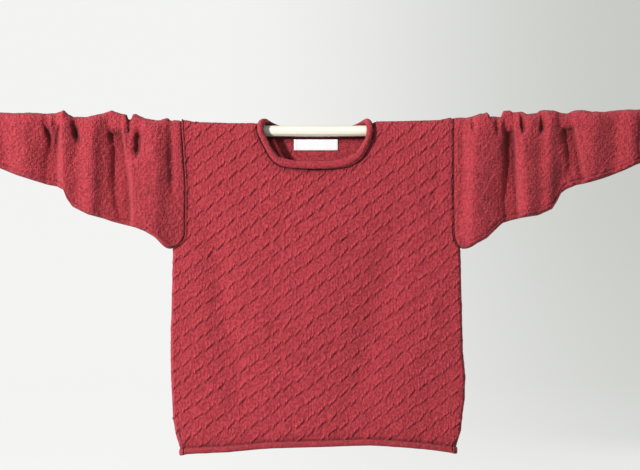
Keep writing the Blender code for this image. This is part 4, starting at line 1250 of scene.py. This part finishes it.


# %% [markdown]
# ## The red knit
#
# The yarn is matt, deep red cotton. The stitch group's height becomes bump, its cavities get painted shade
# and its dashes a painted highlight, a little paler. Light hardly gets into a fold that is pressed shut,
# and its two sides look
# nearly black: an Ambient Occlusion node, which measures how far cloth closes over a place, paints that
# shade into the colour.

# %% Red knit
DYE_DEEP, DYE_BRIGHT = (0.430, 0.031, 0.046, 1), (0.660, 0.063, 0.086, 1)
# a paler red as painted highlight on the dashes, and two dark reds as painted shade in cavities and in
# closed folds
DASH_HIGHLIGHT_RED, CAVITY_SHADE_RED, FOLD_SHADE_RED = (0.70, 0.085, 0.110, 1), (0.200, 0.008, 0.014, 1), (0.110, 0.003, 0.007, 1)
DASH_HIGHLIGHT_SHARE, CAVITY_SHADE_SHARE, FOLD_SHADE_SHARE = 0.25, 0.75, 0.85
FOLD_REACH = 0.022          # cloth within this distance closes a fold
FOLD_CLOSED, FOLD_OPEN = 0.60, 0.96
FIBRE_SCALE, YARN_SCALE = 900.0, 210.0
FIBRE_BUMP, YARN_BUMP = 0.25, 2.7       # heights of the noise beside that of the stitches
KNIT_BUMP = 0.0017
SHEEN_TINT = (1.0, 0.62, 0.62, 1)


def knit_material():
    """Matt red cotton: the chart's height as bump, painted shade in cavities and folds, a painted highlight
    on the dashes.
    """
    material, n, shader = new_material("red_knit", 0.92)
    chart = n.add("ShaderNodeUVMap", uv_map="knit")
    knit = n.add("ShaderNodeGroup", node_tree=stitches)
    n.feed(knit.inputs["Chart"], chart.outputs["UV"])
    for label in ("Dashes", "Reverse"):
        shown = n.add("ShaderNodeAttribute", attribute_name=label.lower())
        n.feed(knit.inputs[label], shown.outputs["Fac"])
    fuzzy = add_fuzz(n, FIBRE_SCALE, YARN_SCALE)
    dye = n.mix(n.ramp(fuzzy.outputs["Broad"], 0.3, 0.7), DYE_DEEP, DYE_BRIGHT)
    # painted highlight: the raised dashes are mixed towards a paler red
    pale = n.mix(n.times(knit.outputs["Dash"], DASH_HIGHLIGHT_SHARE), dye, DASH_HIGHLIGHT_RED)
    # painted shade: the cavity mask mixes the colour towards a dark red
    deep = n.mix(n.times(knit.outputs["Cavity shade"], CAVITY_SHADE_SHARE), pale, CAVITY_SHADE_RED)
    # painted shade: where cloth closes over a place, the Ambient Occlusion node darkens the colour towards
    # a near-black red
    fold = n.add("ShaderNodeAmbientOcclusion", samples=8)
    fold.inputs["Distance"].default_value = FOLD_REACH
    closed = n.rest(n.ramp(fold.outputs["AO"], FOLD_CLOSED, FOLD_OPEN))
    n.feed(shader.inputs["Base Color"], n.mix(n.times(closed, FOLD_SHADE_SHARE), deep, FOLD_SHADE_RED))
    shader.inputs["Specular IOR Level"].default_value = 0.25
    shader.inputs["Sheen Weight"].default_value = 0.18
    shader.inputs["Sheen Roughness"].default_value = 0.5
    shader.inputs["Sheen Tint"].default_value = SHEEN_TINT
    height = n.line(fuzzy.outputs["Fine"], FIBRE_BUMP, knit.outputs["Height"])
    add_bump(n, shader, n.line(fuzzy.outputs["Broad"], YARN_BUMP, height), KNIT_BUMP)
    return material


red_knit = knit_material()
for piece in (front, back, sleeve_left, sleeve_right, neckband):
    piece.data.materials.append(red_knit)


# %% [markdown]
# ## The white tape
#
# The label's tape is woven from threads far thinner than the yarn. Two crossed sine waves on the tape's
# own map are enough for them, because a thread is narrower than one pixel of the photo.

# %% White woven tape
WARP, WEFT = 0.0006, 0.0005             # spacing of the threads
TAPE_SHADE, TAPE_WHITE = (0.93, 0.93, 0.92, 1), (0.985, 0.985, 0.98, 1)
TAPE_FIBRE_SCALE, TAPE_BROAD_SCALE = 700.0, 60.0
TAPE_FIBRE_BUMP, TAPE_BUMP = 0.3, 0.00012


def tape_material():
    """White tape: fine crossed threads, as two sine waves on the tape's own map, and a faint fuzz."""
    material, n, shader = new_material("white_woven", 0.75)
    chart = n.add("ShaderNodeUVMap", uv_map="knit")
    split = n.add("ShaderNodeSeparateXYZ")
    n.feed(split.inputs[0], chart.outputs["UV"])
    warp = n.math("SINE", n.times(split.outputs[0], 2 * math.pi / WARP))
    weft = n.math("SINE", n.times(split.outputs[1], 2 * math.pi / WEFT))
    weave = n.line(n.times(warp, weft), 0.5, 0.5)
    fuzzy = add_fuzz(n, TAPE_FIBRE_SCALE, TAPE_BROAD_SCALE)
    n.feed(shader.inputs["Base Color"], n.mix(weave, TAPE_SHADE, TAPE_WHITE))
    add_bump(n, shader, n.line(fuzzy.outputs["Fine"], TAPE_FIBRE_BUMP, weave), TAPE_BUMP)
    return material


label.data.materials.append(tape_material())

# %% [markdown]
# ## The pole
#
# The pole keeps its solid: its shape is right. It is pale, bare softwood, turned smooth. Growth rings
# cut lengthwise show as long thin streaks, so the noise is stretched along X by a Mapping node.

# %% Pale wood
GRAIN_STRETCH = (0.025, 1.0, 1.0)
WOOD_DEEP, WOOD_PALE, WOOD_PORE = (0.955, 0.92, 0.74, 1), (0.985, 0.965, 0.82, 1), (0.74, 0.62, 0.42, 1)
PORE_SCALE, STREAK_SCALE = 900.0, 260.0
PORE_SHARE, WOOD_BUMP = 0.3, 0.0002
WOOD_ROUGH, STREAK_SMOOTHER = 0.6, 0.12


def wood_material():
    """Pale wood: streaks from noise that is 40 times longer along X than across it."""
    material, n, shader = new_material("pale_wood", WOOD_ROUGH)
    stretch = n.add("ShaderNodeMapping")
    stretch.inputs["Scale"].default_value = GRAIN_STRETCH
    n.feed(stretch.inputs["Vector"], n.add("ShaderNodeTexCoord").outputs["Object"])
    grain = add_fuzz(n, PORE_SCALE, STREAK_SCALE, stretch.outputs["Vector"])
    streaks = n.ramp(grain.outputs["Broad"], 0.35, 0.65)
    pores = n.ramp(grain.outputs["Fine"], 0.62, 0.75)
    wood = n.mix(streaks, WOOD_DEEP, WOOD_PALE)
    n.feed(shader.inputs["Base Color"], n.mix(n.times(pores, PORE_SHARE), wood, WOOD_PORE))
    n.feed(shader.inputs["Roughness"], n.line(streaks, -STREAK_SMOOTHER, WOOD_ROUGH))
    add_bump(n, shader, grain.outputs["Fine"], WOOD_BUMP)
    return material


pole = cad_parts["pole"]
pole.material_slots[0].material = wood_material()

# %% [markdown]
# ## Saying what is what
#
# Each piece rides on the one body and replaces its plain solid.

# %% Pieces
for piece, node in (
    (front, "front"), (back, "back"), (sleeve_left, "sleeve_left"),
    (sleeve_right, "sleeve_right"), (neckband, "neck_roll"), (label, "label"),
):
    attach(piece, "root")
    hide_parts(node)

# %% [markdown]
# ## The stage
#
# The sweater hangs in front of a pale sweep: a floor that curves up into a round wall, far enough away
# to stay out of every view. It glows by itself, brighter on the left, as the photo's wall does, and so
# needs no lamp. What it glows is for the camera alone and doesn't tint the cloth.

# %% Sweep
FLOOR = -1.05
SWEEP_RADIUS, SWEEP_HEIGHT, SWEEP_BEND = 8.5, 9.0, 2.5
SWEEP_FLOOR_RINGS = (0.01, 2.0, 4.0)
SWEEP_BEND_POINTS, SWEEP_SIDES = 25, 96
GLOW_LEFT, GLOW_RIGHT, GLOW_FLOOR = (0.875, 0.88, 0.87, 1), (0.555, 0.565, 0.535, 1), (0.93, 0.93, 0.92, 1)
GLOW_FLOOR_SHARE = 0.12


def make_sweep():
    """A profile of floor, quarter-circle bend and wall, turned about Z; one face closes its middle."""
    bend = np.linspace(0, math.pi / 2, SWEEP_BEND_POINTS)
    bend_reach = SWEEP_RADIUS - SWEEP_BEND + SWEEP_BEND * np.sin(bend)
    reach = np.concatenate([SWEEP_FLOOR_RINGS, bend_reach, [SWEEP_RADIUS]])[:, None]
    flat = np.zeros(len(SWEEP_FLOOR_RINGS))
    rise = np.concatenate([flat, SWEEP_BEND * (1 - np.cos(bend)), [SWEEP_HEIGHT]])[:, None]
    turn = np.linspace(0, 2 * math.pi, SWEEP_SIDES, endpoint=False)[None, :]
    places = np.broadcast_arrays(reach * np.cos(turn), reach * np.sin(turn), FLOOR + rise)
    points = np.stack(places, axis=-1)
    quads = grid_quads(*points.shape[:2], wraps=True)[:, ::-1].tolist()
    mesh = bpy.data.meshes.new("sweep")
    mesh.from_pydata(points.reshape(-1, 3).tolist(), [], quads + [list(range(SWEEP_SIDES))])
    mesh.shade_smooth()
    made = bpy.data.objects.new("sweep", mesh)
    bpy.context.scene.collection.objects.link(made)
    return made


def sweep_material():
    """A glow that falls off to the right and is a little brighter low down, over a nearly black surface."""
    material, n, shader = new_material("glowing_sweep", 1.0)
    shader.inputs["Base Color"].default_value = (0.05, 0.05, 0.05, 1)
    shader.inputs["Specular IOR Level"].default_value = 0.0
    shader.inputs["Emission Strength"].default_value = 1.0
    where = n.add("ShaderNodeSeparateXYZ")
    n.feed(where.inputs[0], n.add("ShaderNodeTexCoord").outputs["Object"])
    # painted light: the glow is brighter on the left and falls off to the right, like light from the left,
    # and is a little brighter low down
    glow = n.mix(n.ramp(where.outputs[0], -0.9, 2.6), GLOW_LEFT, GLOW_RIGHT)
    low = n.rest(n.ramp(where.outputs[2], -1.3, 0.3))
    n.feed(shader.inputs["Emission Color"], n.mix(n.times(low, GLOW_FLOOR_SHARE), glow, GLOW_FLOOR))
    return material


sweep = make_sweep()
sweep.data.materials.append(sweep_material())
sweep.visible_diffuse = False

# %% [markdown]
# ## Light
#
# The photo's light comes from the left, in front and a little above: the left sleeve is the lightest,
# and every dash has its dark side on the right. One round lamp does that. A faint even light from all
# round, the world's, fills the shadows, and a weaker lamp behind shows the back in the other views.

# %% Light
ROOM_LIGHT = 0.235
world = bpy.data.worlds.new("room")
world.use_nodes = True
world.node_tree.nodes["Background"].inputs["Color"].default_value = (1, 1, 1, 1)
world.node_tree.nodes["Background"].inputs["Strength"].default_value = ROOM_LIGHT
bpy.context.scene.world = world

Lamp = namedtuple("Lamp", "name place aim size power")
LAMPS = (
    Lamp("key", (-4.1, -3.6, 1.25), (0.0, 0.0, -0.25), 0.6, 418.0),
    Lamp("back", (2.2, 2.8, -0.3), (0.0, 0.0, -0.25), 1.2, 90.0),
)


def aim(thing, place, target):
    """Puts an object at a place with its -Z axis pointing at the target."""
    thing.location = place
    thing.rotation_euler = (Vector(target) - Vector(place)).to_track_quat("-Z", "Y").to_euler()


for lamp in LAMPS:
    light = bpy.data.lights.new(lamp.name, "AREA")
    light.shape = "DISK"
    light.size = lamp.size
    light.energy = lamp.power
    holder = bpy.data.objects.new(lamp.name, light)
    bpy.context.scene.collection.objects.link(holder)
    aim(holder, lamp.place, lamp.aim)
    holder.visible_camera = False
print("lamps:", ", ".join(lamp.name for lamp in LAMPS))

# %% [markdown]
# ## Camera
#
# The photo is taken straight on from some distance, so the pole hardly shows any perspective. The lens
# and the width that the photo spans in the sweater's plane give the camera's distance.

# %% Camera
PHOTO_PIXELS, PIXEL = 640, 0.001905     # a pixel of the photo is this wide in the sweater's plane
LENS, SENSOR = 85.0, 36.0
DISTANCE = PHOTO_PIXELS * PIXEL * LENS / SENSOR
MIDDLE = (0.0048, 0.0, -0.1975)
camera = bpy.data.cameras.new("camera")
camera.lens = LENS
camera.sensor_width = SENSOR
holder = bpy.data.objects.new("camera", camera)
bpy.context.scene.collection.objects.link(holder)
aim(holder, (MIDDLE[0], -DISTANCE, MIDDLE[2]), MIDDLE)
bpy.context.scene.camera = holder
bpy.context.scene.view_settings.view_transform = "Standard"
print(f"the camera stands {DISTANCE:.2f} m in front")
